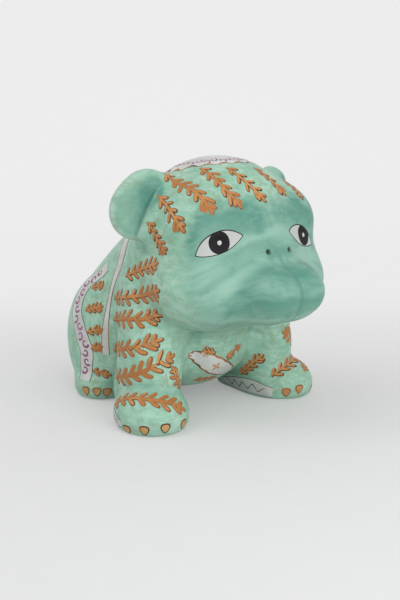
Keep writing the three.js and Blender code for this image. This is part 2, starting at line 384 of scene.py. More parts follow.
def refine(points, quads):
    """Each quad cut in four at the middles of its edges."""
    pairs, number = edges_of(quads)
    edge_number = number + len(points)
    centre_number = np.arange(len(quads)) + len(points) + len(pairs)
    points = np.concatenate((points, points[pairs].mean(1), points[quads].mean(1)))
    parts = [
        np.stack((quads[:, i], edge_number[:, i], centre_number, edge_number[:, i - 1]), 1)
        for i in range(4)
    ]
    return points, np.concatenate(parts)


def bend(points):
    """How sharply the casts are bent, per millimetre: above zero on ridges, below in creases.

    It is the sum of the second differences of their depth along the three axes.
    """
    total = -6 * joined(*casts(points))
    for axis in np.eye(3) * BEND_STEP:
        total += joined(*casts(points + axis)) + joined(*casts(points - axis))
    return total / BEND_STEP**2


def stroke(points, marks, half_width):
    """How strongly a stroke on the right side covers rows of points: a bell curve across it. Strokes are
    brushwork, and some are bands of painted shade.
    """
    near = np.full(len(points), np.inf)
    for place in path_over(seen(marks))[1]:
        near = np.minimum(near, ((points - place) ** 2).sum(1))
    return np.exp(-near / half_width**2)


def faded(depth, width):
    """Strength of a wash: full inside a lump, and fading out over that width around it."""
    return np.exp(-np.maximum(depth, 0) / width)


def painted_values(points, ear):
    """What the glaze follows, by name, at rows of points where the ear's depth is given."""
    p = right_side(points)
    values = {name: faded(shape(p), fade) for name, (shape, fade) in WASHES.items()}
    values["face_wash"] = 1 / (1 + np.exp(FACE_WASH(p) / FACE_WASH_FADE))
    values["ear_wash"] = np.ones(len(p))
    for depth in (ear_face(p), ear):
        values["ear_wash"] *= faded(depth - EAR_WASH_SPARE, EAR_WASH_FADE)
    for name, strokes in STROKES.items():
        values[name] = np.max([stroke(p, *marks) for marks in strokes], axis=0)
    values["bend"] = bend(points)
    return values


@functools.lru_cache(maxsize=1)
def skin(step):
    """The whole skin as points, triangles and a dict of values at each point."""
    points, quads = net(step)
    points = relax(settle(points, rounds=3), quads, rounds=3)
    points, quads = refine(points, quads)
    points = settle(points, rounds=2)
    points[:, 2] = np.maximum(points[:, 2], 0)
    short = ((points[quads[:, 0]] - points[quads[:, 2]]) ** 2).sum(1)
    long = ((points[quads[:, 1]] - points[quads[:, 3]]) ** 2).sum(1)
    first = np.where((short <= long)[:, None], quads[:, [0, 1, 2]], quads[:, [0, 1, 3]])
    second = np.where((short <= long)[:, None], quads[:, [0, 2, 3]], quads[:, [1, 2, 3]])
    values = dict(zip(CAST_NAMES, casts(points)))
    values.update(painted_values(points, values["ear"]), normal=outward(points))
    return points, np.concatenate((first, second)), values


def clip(points, triangles, values, level):
    """The part of a skin where a level, given at its points, is below zero.

    A triangle that the level crosses is cut along the line where it is zero, with the cut's points
    and values taken in proportion along its edges.
    """
    kept = level < 0
    state = kept[triangles]
    count = state.sum(1)
    whole = triangles[count == 3]
    mixed = triangles[(count == 1) | (count == 2)]
    mixed_state = kept[mixed]
    odd = np.where(mixed_state.sum(1) == 1, mixed_state.argmax(1), (~mixed_state).argmax(1))
    order = (odd[:, None] + np.arange(3)) % 3
    mixed = np.take_along_axis(mixed, order, 1)
    single = kept[mixed[:, 0]]
    ends = np.concatenate((mixed[:, [0, 1]], mixed[:, [0, 2]]))
    pairs, number = np.unique(np.sort(ends, 1), axis=0, return_inverse=True)
    number = number.reshape(2, -1) + len(points)
    share = level[pairs[:, 0]] / (level[pairs[:, 0]] - level[pairs[:, 1]])

    def mix(data):
        part = share.reshape((-1,) + (1,) * (data.ndim - 1))
        return np.concatenate((data, data[pairs[:, 0]] * (1 - part) + data[pairs[:, 1]] * part))

    cut_a, cut_b = number
    pieces = [
        whole,
        np.stack((mixed[:, 0], cut_a, cut_b), 1)[single],
        np.stack((cut_a, mixed[:, 1], mixed[:, 2]), 1)[~single],
        np.stack((cut_a, mixed[:, 2], cut_b), 1)[~single],
    ]
    faces = np.concatenate(pieces)
    used, faces = np.unique(faces, return_inverse=True)
    values = {name: mix(data)[used] for name, data in values.items()}
    values["normal"] /= np.linalg.norm(values["normal"], axis=1)[:, None]
    return mix(points)[used], faces.reshape(-1, 3), values


def rim_of(triangles):
    """Open edges of a skin, as pairs in the direction that their triangles run."""
    ends = np.stack((triangles, np.roll(triangles, -1, 1)), 2).reshape(-1, 2)
    number = edges_of(triangles)[1].ravel()
    return ends[np.bincount(number)[number] == 1]


def flat_normals(points, faces):
    """Unit normals of triangles, one for each corner."""
    a, b, c = points[faces[:, 0]], points[faces[:, 1]], points[faces[:, 2]]
    normal = np.cross(b - a, c - a)
    normal /= np.maximum(np.linalg.norm(normal, axis=1), 1e-12)[:, None]
    return np.repeat(normal[:, None], 3, 1)


def walled(points, triangles, values, wall):
    """A skin closed as a cast with a wall: an inner skin and a rim along its open edges."""
    count = len(points)
    normals = values["normal"]
    back = triangles[:, ::-1]
    rim = rim_of(triangles)
    lip = np.concatenate((
        np.stack((rim[:, 1], rim[:, 0], rim[:, 0] + count), 1),
        np.stack((rim[:, 1], rim[:, 0] + count, rim[:, 1] + count), 1),
    ))
    inner = points - wall * normals
    inner[:, 2] = np.maximum(inner[:, 2], 0)
    points = np.concatenate((points, inner))
    faces = np.concatenate((triangles, back + count, lip))
    corner_normals = np.concatenate((normals[triangles], -normals[back], flat_normals(points, lip)))
    return points, faces, corner_normals, {n: np.tile(values[n], 2) for n in PAINTED_VALUES}


def plugged(points, triangles, values, sink):
    """A skin closed as a solid: its open edge is drawn to one point sunk below the edge's middle."""
    normals = values["normal"]
    rim = rim_of(triangles)
    ring = np.unique(rim)
    heart = points[ring].mean(0) - sink * normals[ring].mean(0)
    cap = np.column_stack((rim[:, 1], rim[:, 0], np.full(len(rim), len(points))))
    points = np.concatenate((points, heart[None]))
    corner_normals = np.concatenate((normals[triangles], flat_normals(points, cap)))
    painted = {n: np.append(values[n], 0) for n in PAINTED_VALUES}
    return points, np.concatenate((triangles, cap)), corner_normals, painted


# Pieces of the part


@functools.lru_cache(maxsize=1)
def row_fit(step):
    """Scale and shift, per axis, that take the sculptor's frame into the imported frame's box."""
    points = skin(step)[0]
    low, high = points.min(0), points.max(0)
    box_low, box_high = np.array(CAD_BOX) / MM
    margin = np.array((BOX_MARGIN, BOX_MARGIN, BOX_MARGIN / 2))
    scale = (box_high - box_low - 2 * margin) / (high - low)
    shift = (box_low + box_high) / 2 - scale * (low + high) / 2
    shift[2] = box_low[2]
    return scale, shift


def to_row(points):
    """Millimetres of the sculptor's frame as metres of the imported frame."""
    scale, shift = row_fit(bpy.context.scene.dog_skin.grid_step)
    return (np.asarray(points) * scale + shift) * MM


def add_piece(name, points, faces, corner_normals, values, material, node, slot):
    """A mesh object from whole arrays, riding on the part's body and standing for a CAD node."""
    mesh = bpy.data.meshes.new(name)
    sides = faces.shape[1]
    mesh.vertices.add(len(points))
    mesh.vertices.foreach_set("co", to_row(points).astype(np.float32).ravel())
    mesh.loops.add(faces.size)
    mesh.loops.foreach_set("vertex_index", faces.astype(np.int32).ravel())
    mesh.polygons.add(len(faces))
    mesh.polygons.foreach_set("loop_start", np.arange(0, faces.size, sides, dtype=np.int32))
    mesh.update(calc_edges=True)
    if mesh.validate():
        raise RuntimeError(f"{name} has faces that Blender had to mend")
    mesh.polygons.foreach_set("use_smooth", np.ones(len(faces), bool))
    mesh.normals_split_custom_set(corner_normals.reshape(-1, 3).tolist())
    for value_name, data in values.items():
        layer = mesh.attributes.new(value_name, "FLOAT", "POINT")
        layer.data.foreach_set("value", data.astype(np.float32))
    mesh.materials.append(material)
    piece = bpy.data.objects.new(name, mesh)
    bpy.context.scene.collection.objects.link(piece)
    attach(piece, "root")
    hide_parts(node)


def skin_parts():
    """Levels, below zero on each cast's own share of the skin."""
    points, _, values = skin(bpy.context.scene.dog_skin.grid_step)
    depths = np.stack([values[name] for name in CAST_NAMES])
    own = {name: depths[i] - np.delete(depths, i, 0).min(0) for i, name in enumerate(CAST_NAMES)}
    seam = (points - SEAM_POINT) @ SEAM_NORMAL
    side = points[:, 0] + SIDE_NUDGE
    hole = POUR_HOLE_RADIUS - POUR_HOLE_LIP - np.hypot(points[:, 0], points[:, 1] - POUR_HOLE_BACK)
    hole = np.minimum(hole, POUR_HOLE_CLIP - np.abs(points[:, 2] - POUR_HOLE_DEPTH))
    parts = {
        "torso_shell": np.maximum(np.maximum(own["core"], seam), hole),
        "head_shell": np.maximum(own["core"], -seam),
        "tail_stub": own["tail"],
    }
    for name in ("foreleg", "hind_leg", "ear"):
        parts[f"right_{name}"] = np.maximum(own[name], side)
        parts[f"left_{name}"] = np.maximum(own[name], -side)
    return parts


def add_cast(node, slot, closing, amount):
    """One cast of the dog: its share of the skin, closed, in the green glaze."""
    points, triangles, values = skin(bpy.context.scene.dog_skin.grid_step)
    part = clip(points, triangles, values, skin_parts()[node])
    add_piece(f"{node}_glazed", *closing(*part, amount), green_enamel(), node, slot)


# Enamel: pads laid on the skin


def pad_faces(rows, columns):
    """Quads of a closed pad and which way each looks: a top, a bottom and the wall between."""
    number = np.arange(rows * columns).reshape(rows, columns)
    a, b, c, d = number[:-1, :-1], number[1:, :-1], number[1:, 1:], number[:-1, 1:]
    top = np.stack((a, b, c, d), -1).reshape(-1, 4)
    count = rows * columns
    ring = np.concatenate((number[0, :-1], number[:-1, -1], number[-1, :0:-1], number[:0:-1, 0]))
    after = np.roll(ring, -1)
    wall = np.stack((ring, after, after + count, ring + count), 1)
    faces = np.concatenate((top, top[:, ::-1] + count, wall))
    looks = np.repeat((1, -1, 1), (len(top), len(top), len(wall)))
    return faces, looks


def pad_arrays(sheets, height, sink):
    """Points, faces and corner normals of closed pads: tops raised by the height, bottoms sunk.

    Each sheet is an array of (pads, rows, columns, 3) points near the skin.
    """
    flat = settle(np.concatenate([sheet.reshape(-1, 3) for sheet in sheets]), rounds=3)
    normals = outward(flat)
    points, faces, corner_normals = [], [], []
    start = 0
    for sheet in sheets:
        pads, rows, columns = sheet.shape[:3]
        size = rows * columns
        stop = start + pads * size
        on_skin = flat[start:stop].reshape(pads, size, 3)
        up = normals[start:stop].reshape(pads, size, 3)
        quads, looks = pad_faces(rows, columns)
        quads = (quads + 2 * size * np.arange(pads)[:, None, None]).reshape(-1, 4)
        ups = np.concatenate((up, up), 1).reshape(-1, 3)
        points.append(np.concatenate((on_skin + height * up, on_skin - sink * up), 1).reshape(-1, 3))
        faces.append(quads + 2 * start)
        corner_normals.append(ups[quads] * np.tile(looks, pads)[:, None, None])
        start = stop
    return np.concatenate(points), np.concatenate(faces), np.concatenate(corner_normals)


def add_pads(name, height, sheets, material, node, slot):
    """One piece of enamel: closed pads of one height on all its sheets."""
    arrays = pad_arrays(sheets, height, bpy.context.scene.dog_enamel.sink)
    add_piece(name, *arrays, {}, material, node, slot)


PATH_SAMPLES = 60
MIRROR = np.array((-1, 1, 1))
ACROSS = np.array((-1, 0, 1.0))


def path_over(points, spare=0.0):
    """A path over the skin through these points: lengths, points, side directions and its length.

    A Catmull-Rom curve through the points is sampled and settled on the skin. It runs straight on
    by the spare length past its end.
    """
    points = np.asarray(points, float)
    last = len(points) - 1
    at = np.linspace(0, last, PATH_SAMPLES)
    piece = np.minimum(at.astype(int), last - 1)
    u = (at - piece)[:, None]
    p0, p1, p2, p3 = (points[np.clip(piece + k, 0, last)] for k in (-1, 0, 1, 2))
    bow = 2 * p0 - 5 * p1 + 4 * p2 - p3 + u * (3 * p1 - p0 - 3 * p2 + p3)
    track = settle(p1 + u * (p2 - p0 + u * bow) / 2)
    step = track[-1] - track[-2]
    beyond = np.arange(1, int(spare / np.linalg.norm(step)) + 2)[:, None] * step
    track = settle(np.concatenate((track, track[-1] + beyond)), rounds=2)
    length = np.append(0, np.cumsum(np.linalg.norm(np.diff(track, axis=0), axis=1)))
    side = np.cross(outward(track), np.gradient(track, axis=0))
    side /= np.linalg.norm(side, axis=1)[:, None]
    return length, track, side, length[PATH_SAMPLES - 1]


def on_path(path, s, t):
    """Points at lengths s along a path and t to its left."""
    length, track, side, _ = path
    flat = s.ravel()
    place = np.stack([np.interp(flat, length, track[:, i]) for i in range(3)], 1)
    across = np.stack([np.interp(flat, length, side[:, i]) for i in range(3)], 1)
    return (place + t.reshape(-1, 1) * across).reshape(s.shape + (3,))


def run_through(values, rows):
    """Values at even steps, read off at that many even steps between the first and the last."""
    return np.interp(np.linspace(0, 1, rows), np.linspace(0, 1, len(values)), values)


def ribbon(path, half_widths, rows, columns=5):
    """A sheet along a whole path, its half width run through the given values."""
    s = np.linspace(0, path[3], rows)[:, None] * np.ones(columns)
    t = run_through(half_widths, rows)[:, None] * np.linspace(-1, 1, columns)
    return on_path(path, s, t)[None]


# Leaf lobes: shares of a lobe's length, and of its half width there, then sizes and angles

LOBE_ALONG = np.array((0, 0.2, 0.45, 0.7, 0.9, 1))
LOBE_SPREAD = np.array((0.7, 0.85, 1.0, 1.05, 0.85, 0.3))
LOBE_SPACING = 7.4
LOBE_REACH = 8.2
LOBE_HALF_WIDTH = 0.92
LOBE_OPEN_ANGLE = math.radians(50)
LOBE_BEND_ANGLE = math.radians(-18)
TIP_ANGLE = math.radians(52)

# Sprays: how their size follows their length, how pairs are spaced and grow, and the stem

SPRAY_LEAST = 0.46
SPRAY_LARGEST = 1.05
SPRAY_LENGTH = 80
TIP_REACH = 0.8
TIP_REACHES = (0.68, 0.85, 0.68)
FIRST_PAIR = 0.2
LAST_PAIR = 0.85
PAIR_STAGGER = 0.25
PAIR_GROWTH = (0.8, 1.0)
STEM_HALF_WIDTHS = (0.5, 0.85, 1.0, 0.9)
STEM_ROWS = 14
STEM_END = 0.25
OUTLINE_SHIFT = np.array((0.32, -0.28, -0.42))

# How far the hand strays in a lobe's reach, half width, angle and bend

REACH_STRAY = (0.88, 1.1)
WIDTH_STRAY = (0.88, 1.12)
ANGLE_STRAY = (0.85, 1.12)
BEND_STRAY = (0.5, 1.4)


def lobes(*shape):
    """Sheets of lobes in a path's own lengths: each a finger that bends by an angle on its way.

    The shape has a row for each lobe: where its base lies along and across the path, its angle there,
    its bend, its length and its half width.
    """
    base_s, base_t, angle, bent, length, half_width = (row[:, None, None] for row in shape)
    along = LOBE_ALONG[:, None]
    heading = angle + bent * along
    mean = angle + bent * along / 2
    reach = length * along
    spread = half_width * LOBE_SPREAD[:, None] * ACROSS
    s = base_s + reach * np.cos(mean) - spread * np.sin(heading)
    t = base_t + reach * np.sin(mean) + spread * np.cos(heading)
    return s, t


def spray(path, seed):
    """Sheets of a leaf spray, then of its outline, which is the same grown, shifted and laid lower.

    A spray is a stem, pairs of lobes that lean to its tip, and a tip of three.
    """
    enamel = bpy.context.scene.dog_enamel
    random = np.random.default_rng(seed)
    length = path[3]
    size = enamel.leaf_size * min(SPRAY_LARGEST, SPRAY_LEAST + length / SPRAY_LENGTH)
    spacing = LOBE_SPACING * size
    reach = LOBE_REACH * size
    tip = length - TIP_REACH * reach
    pairs = max(2, round(tip / spacing))
    place = np.linspace(FIRST_PAIR * spacing, tip - LAST_PAIR * spacing, pairs)
    growth = np.linspace(*PAIR_GROWTH, pairs)
    base_s = np.concatenate((place, place + PAIR_STAGGER * spacing, np.full(3, tip)))
    sign = np.concatenate((np.ones(pairs), -np.ones(pairs), (1, 0, -1)))
    count = len(base_s)
    reach = reach * np.concatenate((growth, growth, TIP_REACHES)) * random.uniform(*REACH_STRAY, count)
    half = LOBE_HALF_WIDTH * size * random.uniform(*WIDTH_STRAY, count)
    angle = np.repeat((LOBE_OPEN_ANGLE, TIP_ANGLE), (2 * pairs, 3))
    angle *= sign * random.uniform(*ANGLE_STRAY, count)
    bent = LOBE_BEND_ANGLE * sign * random.uniform(*BEND_STRAY, count)
    stem_half = run_through(STEM_HALF_WIDTHS, STEM_ROWS) * size
    layers = []
    for extra, shift in ((0.0, 0.0), (enamel.outline_width, OUTLINE_SHIFT)):
        back_s, back_t = extra * np.cos(angle), extra * np.sin(angle)
        s, t = lobes(base_s - back_s, -back_t, angle, bent, reach + 2 * extra, half + extra)
        stem_s = np.linspace(-extra, tip + STEM_END * spacing, STEM_ROWS)[:, None] * np.ones(3)
        stem_t = (stem_half + extra)[:, None] * ACROSS
        layers.append([on_path(path, s, t) + shift, on_path(path, stem_s, stem_t)[None] + shift])
    return layers


def patch(centre, toward, a, b):
    """Points a along and b across, in millimetres, from a centre on the skin; a runs toward a point."""
    centre = settle(np.asarray(centre, float)[None])
    normal = outward(centre)[0]
    along = np.asarray(toward, float) - centre[0]
    along -= normal * (along @ normal)
    along /= np.linalg.norm(along)
    across = np.cross(normal, along)
    return centre[0] + a[..., None] * along + b[..., None] * across


def disc(rows):
    """A square grid drawn out to a unit disc: u and v run from -1 to 1."""
    u, v = np.meshgrid(*(np.linspace(-1, 1, rows),) * 2, indexing="ij")
    return u * np.sqrt(1 - v * v / 2), v * np.sqrt(1 - u * u / 2)


def oval(centre, toward, half, rows, waves=0, depth=0.0):
    """A sheet over an oval, its edge drawn in and out in that many waves."""
    a, b = disc(rows)
    edge = 1 + depth * np.hypot(a, b) ** 4 * np.cos(waves * np.arctan2(b, a))
    return patch(centre, toward, a * half[0] * edge, b * half[1] * edge)[None]


# Where the enamels lie: pairs are the photograph's pixels, threes points that it doesn't show

HEAD_SPRAYS = (
    ((163, 173), (191, 190), (212, 214)),
    ((200, 169), (222, 187), (240, 208)),
    ((226, 168), (247, 184), (264, 201)),
    ((253, 168), (270, 180), (285, 195)),
    ((282, 180), (294, 189), (302, 199)),
)
HEAD_SIDE_SPRAYS = (
    ((158, 196), (171, 212), (184, 231)),
    ((147, 222), (157, 237), (166, 254)),
)
HEAD_BACK_SPRAYS = (
    ((-16, 62, 170), (-26, 74, 154), (-33, 80, 136)),
    ((-36, 52, 162), (-48, 62, 146), (-54, 66, 126)),
)
SHOULDER_SPRAYS = (
    ((126, 276), (142, 269), (158, 263)),
    ((115, 298), (137, 296), (160, 290)),
    ((114, 319), (137, 319), (161, 315)),
    ((114, 350), (137, 347), (161, 339)),
    ((116, 377), (145, 370), (174, 354)),
)
RIGHT_LEG_SPRAYS = (
    ((180, 387), (176, 377), (172, 366)),
    ((115, 404), (150, 400), (184, 409)),
)
LEFT_LEG_SPRAYS = (
    ((271, 376), (283, 367), (296, 357)),
    ((66, 2, 20), (76, 12, 22), (82, 26, 22)),
)
FLANK_SPRAYS = (
    ((92, 288), (98, 286), (104, 284)),
    ((86, 310), (94, 308), (103, 306)),
    ((87, 332), (94, 330), (102, 329)),
    ((91, 348), (96, 347), (102, 346)),
    ((93, 370), (101, 372), (110, 374)),
)
CHEST_SPRAYS = (
    ((215, 352), (208, 351), (201, 352)),
    ((240, 344), (233, 351), (227, 359)),
    ((241, 373), (251, 364), (263, 354)),
    ((193, 380), (204, 379), (215, 377)),
)
RUMP_SPRAYS = (
    ((-14, 158, 82), (-30, 150, 84), (-42, 138, 82)),
    ((-15, 161, 60), (-32, 154, 59), (-45, 141, 58)),
    ((-15, 161, 38), (-30, 155, 35), (-42, 144, 33)),
    ((-12, 158, 18), (-26, 152, 16), (-38, 143, 15)),
    ((-14, 104, 114), (-16, 122, 108), (-16, 140, 98)),
)

RESERVES = {
    "head": {
        "node": "head_shell", "waves": 18,
        "centre": (0, 35, 178), "toward": (40, 35, 178), "half": (37, 33),
    },
    "chest": {
        "node": "torso_shell", "waves": 16,
        "centre": (216, 366), "toward": (243, 372.5), "half": (25, 6.4),
    },
}
FLANK_BAND = ((106, 354), (106, 326), (110, 298), (114, 281), (121, 261))
FLANK_BAND_OVER = ((-26, 86, 121), (0, 88, 127))
FLANK_BAND_HALF_WIDTHS = (2.6, 2.4, 1.7, 1.5, 3.0, 3.6, 3.0, 2.6, 2.8)
SASH = ((108, 266), (93, 279), (83, 291), (77, 310), (80, 331), (86, 350), (86, 364), (84, 380))
INNER_PANEL = ((40, 62, 5), (36, 42, 7), (37, 26, 8), (43, 12, 6))
OUTER_PANEL = ((-84, 26, 6), (-83, 38, 7), (-76, 52, 8))
EYES = {
    "right": {"corners": ((193.5, 255), (242, 235.5)), "iris": (219, 243)},
    "left": {"corners": ((289.5, 231.5), (311, 243.5)), "iris": (303, 235)},
}
RIGHT_CLAWS = ((127.5, 429.5), (144.5, 430.5), (165.5, 428.5), (183, 424))
LEFT_CLAWS = ((286, 392), (299, 389))
LEFT_HIDDEN_CLAWS = ((72, 4, 5), (81, 13, 4))
HIND_CLAWS = ((86, 391), (97, 392), (107, 392))

# Sprays of each node, as they are marked or mirrored to the other side

AS_MARKED = 1
SPRAYS = {
    "head_shell": (
        (HEAD_SPRAYS, AS_MARKED), (HEAD_SIDE_SPRAYS, AS_MARKED), (HEAD_SIDE_SPRAYS, MIRROR),
        (HEAD_BACK_SPRAYS, AS_MARKED), (HEAD_BACK_SPRAYS, MIRROR),
    ),
    "right_foreleg": ((SHOULDER_SPRAYS, AS_MARKED), (RIGHT_LEG_SPRAYS, AS_MARKED)),
    "left_foreleg": ((SHOULDER_SPRAYS, MIRROR), (LEFT_LEG_SPRAYS, AS_MARKED)),
    "right_hind_leg": ((FLANK_SPRAYS, AS_MARKED),),
    "left_hind_leg": ((FLANK_SPRAYS, MIRROR),),
    "torso_shell": ((CHEST_SPRAYS, AS_MARKED), (RUMP_SPRAYS, AS_MARKED), (RUMP_SPRAYS, MIRROR)),
}
FIRST_SEED = 11


def places(marks):
    """Skin points of a row of marks, whether they are pixels or points."""
    return seen(marks) if len(marks[0]) == 2 else settle(np.array(marks, float))


# Materials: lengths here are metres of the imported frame

HEAD_AXIS = -0.031
STROKE_RISE = 0.03
STROKE_RUN = 0.012
STROKE_WANDER = 0.018
WARP_REACH = (0.016, 0.016, 0.016)
STREAK_STRETCH = (0.25, 0.25, 1.0)
BUMP = {"Strength": 0.12, "Distance": 0.0006}

# Noises: scale per metre, detail and roughness

NOISES = {
    "warp": (38.0, 3.0, 0.55),
    "streak": (300.0, 4.0, 0.6),
    "cloud": (60.0, 5.0, 0.62),
    "mottle": (170.0, 5.0, 0.68),
    "grain": (900.0, 2.0, 0.5),
    "wander": (30.0, 3.0, 0.55),
    "broad": (85.0, 3.0, 0.55),
    "fine": (330.0, 3.0, 0.6),
}

# Levels of the enamels: gloss, and low and high values that a ramp runs between

ENAMEL_GLOSS = 0.3
BLACK_GLOSS = 0.1
GREEN_ROUGHNESS = (0.34, 0.5)
ROUGHNESS_STRAY = (-0.06, 0.08)
ROUGHNESS_STREAKS = (0.2, 0.8)
SPECK_GRAINS = (0.66, 0.74)
SHADE_CLOUDS = (0.35, 0.66)
SPECK_STRENGTH = 0.5

# Coats of the green glaze: each a colour, and the values whose product is its strength

MINT_COATS = (
    ("mint_pale", ("streak", 0.3, 0.7)),
    ("mint_deep", ("cloud", 0.45, 0.72, 0.0, 0.6)),
    ("mint_brown", ("mottle", 0.46, 0.68, 0.0, 0.6)),
)
TEAL_COATS = (
    ("teal_pale", ("broad", 0.36, 0.62)),
    ("porcelain", ("broad", 0.6, 0.75, 0.0, 0.3)),
    ("teal_pale", ("fine", 0.35, 0.7, 0.0, 0.35)),
    ("teal_deep", ("cloud", 0.48, 0.72, 0.0, 0.6)),
)
TOP_COATS = (
    ("teal_deep", ("muzzle_wash",), ("broad", 0.3, 0.6, 0.9, 0.4)),
    ("teal_pale", ("light_strokes",), ("broad", 0.3, 0.65, 0.3, 0.8)),
    # Dark brush strokes, with painted shade in the muzzle's valleys
    ("teal_deep", ("dark_strokes",), ("fine", 0.3, 0.65, 0.95, 0.4)),
    ("teal_deep", ("brow_wash",), ("fine", 0.3, 0.62, 0.5, 1.0), ("cloud", 0.3, 0.65, 0.35, 0.95)),
    ("teal", ("ear_wash",), ("cloud", 0.3, 0.65, 0.6, 1.0)),
    # Painted shade in the ear's inner corner
    ("teal_deep", ("ear_hollow",), ("cloud", 0.3, 0.65, 0.35, 0.95)),
    # Painted shade: deep teal darkens the creases, where bend is below zero
    ("teal_deep", ("bend", -0.02, -0.16, 0.0, 0.5)),
    ("porcelain", ("bend", 0.12, 0.3), ("streak", 0.35, 0.6, 0.1, 0.45), ("off_ear",)),
    ("speck", ("speck",), (0.35,)),
    # Painted shade: black in the nostril pits
    ("black", ("nostril",), (0.95,)),
)


def linear(red, green, blue):
    """A colour of the photograph's 0 to 255 scale as linear values with alpha."""
    share = np.array((red, green, blue)) / 255
    value = np.where(share <= 0.04045, share / 12.92, ((share + 0.055) / 1.055) ** 2.4)
    return (*value.tolist(), 1.0)


def add_node(tree, kind, inputs=None, **settings):
    """A shader node with its settings; an input is a value or the socket that feeds it."""
    node = tree.nodes.new(kind)
    for name, value in settings.items():
        setattr(node, name, value)
    for name, source in (inputs or {}).items():
        if isinstance(source, bpy.types.NodeSocket):
            tree.links.new(source, node.inputs[name])
        else:
            node.inputs[name].default_value = source
    return node


def mix_colours(tree, factor, first, second):
    """Colour socket of a Mix node between two colours."""
    return add_node(tree, "ShaderNodeMix", {0: factor, 6: first, 7: second}, data_type="RGBA").outputs[2]


def ramp(tree, value, low, high, start=0.0, end=1.0):
    """Value socket of a smooth step from start at low to end at high."""
    inputs = {"Value": value, "From Min": low, "From Max": high, "To Min": start, "To Max": end}
    return add_node(tree, "ShaderNodeMapRange", inputs, interpolation_type="SMOOTHSTEP").outputs[0]


def calc(tree, operation, first, second, kind="ShaderNodeMath"):
    """First socket of a Math node, or of a Vector Math node."""
    return add_node(tree, kind, {0: first, 1: second}, operation=operation).outputs[0]


def noise(tree, vector, name, output="Fac"):
    """Socket of one of the noises on a vector."""
    scale, detail, roughness = NOISES[name]
    inputs = {"Vector": vector, "Scale": scale, "Detail": detail, "Roughness": roughness}
    return add_node(tree, "ShaderNodeTexNoise", inputs).outputs[output]


def object_place(tree):
    """Vector socket of the place in the object's own lengths."""
    return add_node(tree, "ShaderNodeTexCoord").outputs["Object"]


def brushwork():
    """Node group of hand-laid enamel: brush streaks, cloudy thickness, mottling and pin specks."""
    name = "brushwork"
    if name in bpy.data.node_groups:
        return bpy.data.node_groups[name]
    tree = bpy.data.node_groups.new(name, "ShaderNodeTree")
    vectors = functools.partial(calc, tree, kind="ShaderNodeVectorMath")
    tree.interface.new_socket("place", in_out="INPUT", socket_type="NodeSocketVector")
    place = add_node(tree, "NodeGroupInput").outputs["place"]
    warp = vectors("SUBTRACT", noise(tree, place, "warp", "Color"), (0.5, 0.5, 0.5))
    bent = vectors("ADD", place, vectors("MULTIPLY", warp, WARP_REACH))
    values = {
        "streak": noise(tree, vectors("MULTIPLY", bent, STREAK_STRETCH), "streak"),
        "cloud": noise(tree, place, "cloud"),
        "mottle": noise(tree, bent, "mottle"),
        "speck": ramp(tree, noise(tree, place, "grain"), *SPECK_GRAINS),
    }
    for value in values:
        tree.interface.new_socket(value, in_out="OUTPUT", socket_type="NodeSocketFloat")
    add_node(tree, "NodeGroupOutput", values)
    return tree


def new_material(name):
    """A node material with its tree, its Principled shader and the brushwork's values by name."""
    material = bpy.data.materials.new(name)
    material.use_nodes = True
    tree = material.node_tree
    brush = add_node(tree, "ShaderNodeGroup", {"place": object_place(tree)}, node_tree=brushwork())
    return material, tree, tree.nodes["Principled BSDF"], dict(brush.outputs.items())


def face_strokes(tree):
    """Noises of broad and fine brush strokes that run round the head and rise to the muzzle.

    With the angle round the head's upright axis and the height, the noise is drawn out along the
    angle, and its height falls off with the cosine of the angle.
    """
    place = object_place(tree)
    x, y, z = add_node(tree, "ShaderNodeSeparateXYZ", {0: place}).outputs
    turn = calc(tree, "ARCTAN2", x, calc(tree, "SUBTRACT", HEAD_AXIS, y))
    rise = calc(tree, "MULTIPLY", calc(tree, "COSINE", turn, 0.0), STROKE_RISE)
    wander = calc(tree, "MULTIPLY", noise(tree, place, "wander"), STROKE_WANDER)
    height = calc(tree, "ADD", calc(tree, "SUBTRACT", z, rise), wander)
    run = calc(tree, "MULTIPLY", turn, STROKE_RUN)
    drawn = add_node(tree, "ShaderNodeCombineXYZ", {0: run, 1: height}).outputs[0]
    return {name: noise(tree, drawn, name) for name in ("broad", "fine")}


def coated(tree, ground, coats, values):
    """Colour socket of a ground under coats, with the values that they name.

    A coat's value is a name or a number alone, or a name read through a ramp from low to high.
    """
    for colour, *parts in coats:
        strength = 1.0
        for name, *levels in parts:
            value = values.get(name, name)
            if levels:
                value = ramp(tree, value, *levels)
            strength = calc(tree, "MULTIPLY", strength, value)
        ground = mix_colours(tree, strength, ground, getattr(bpy.context.scene.dog_colours, colour))
    return ground


def glaze(tree, shader, colour, streak, roughness, gloss):
    """Feeds a shader its colour, its gloss and a roughness that follows the brush streaks."""
    tree.links.new(colour, shader.inputs["Base Color"])
    rough = ramp(tree, streak, *ROUGHNESS_STREAKS, *roughness)
    tree.links.new(rough, shader.inputs["Roughness"])
    shader.inputs["Specular IOR Level"].default_value = gloss


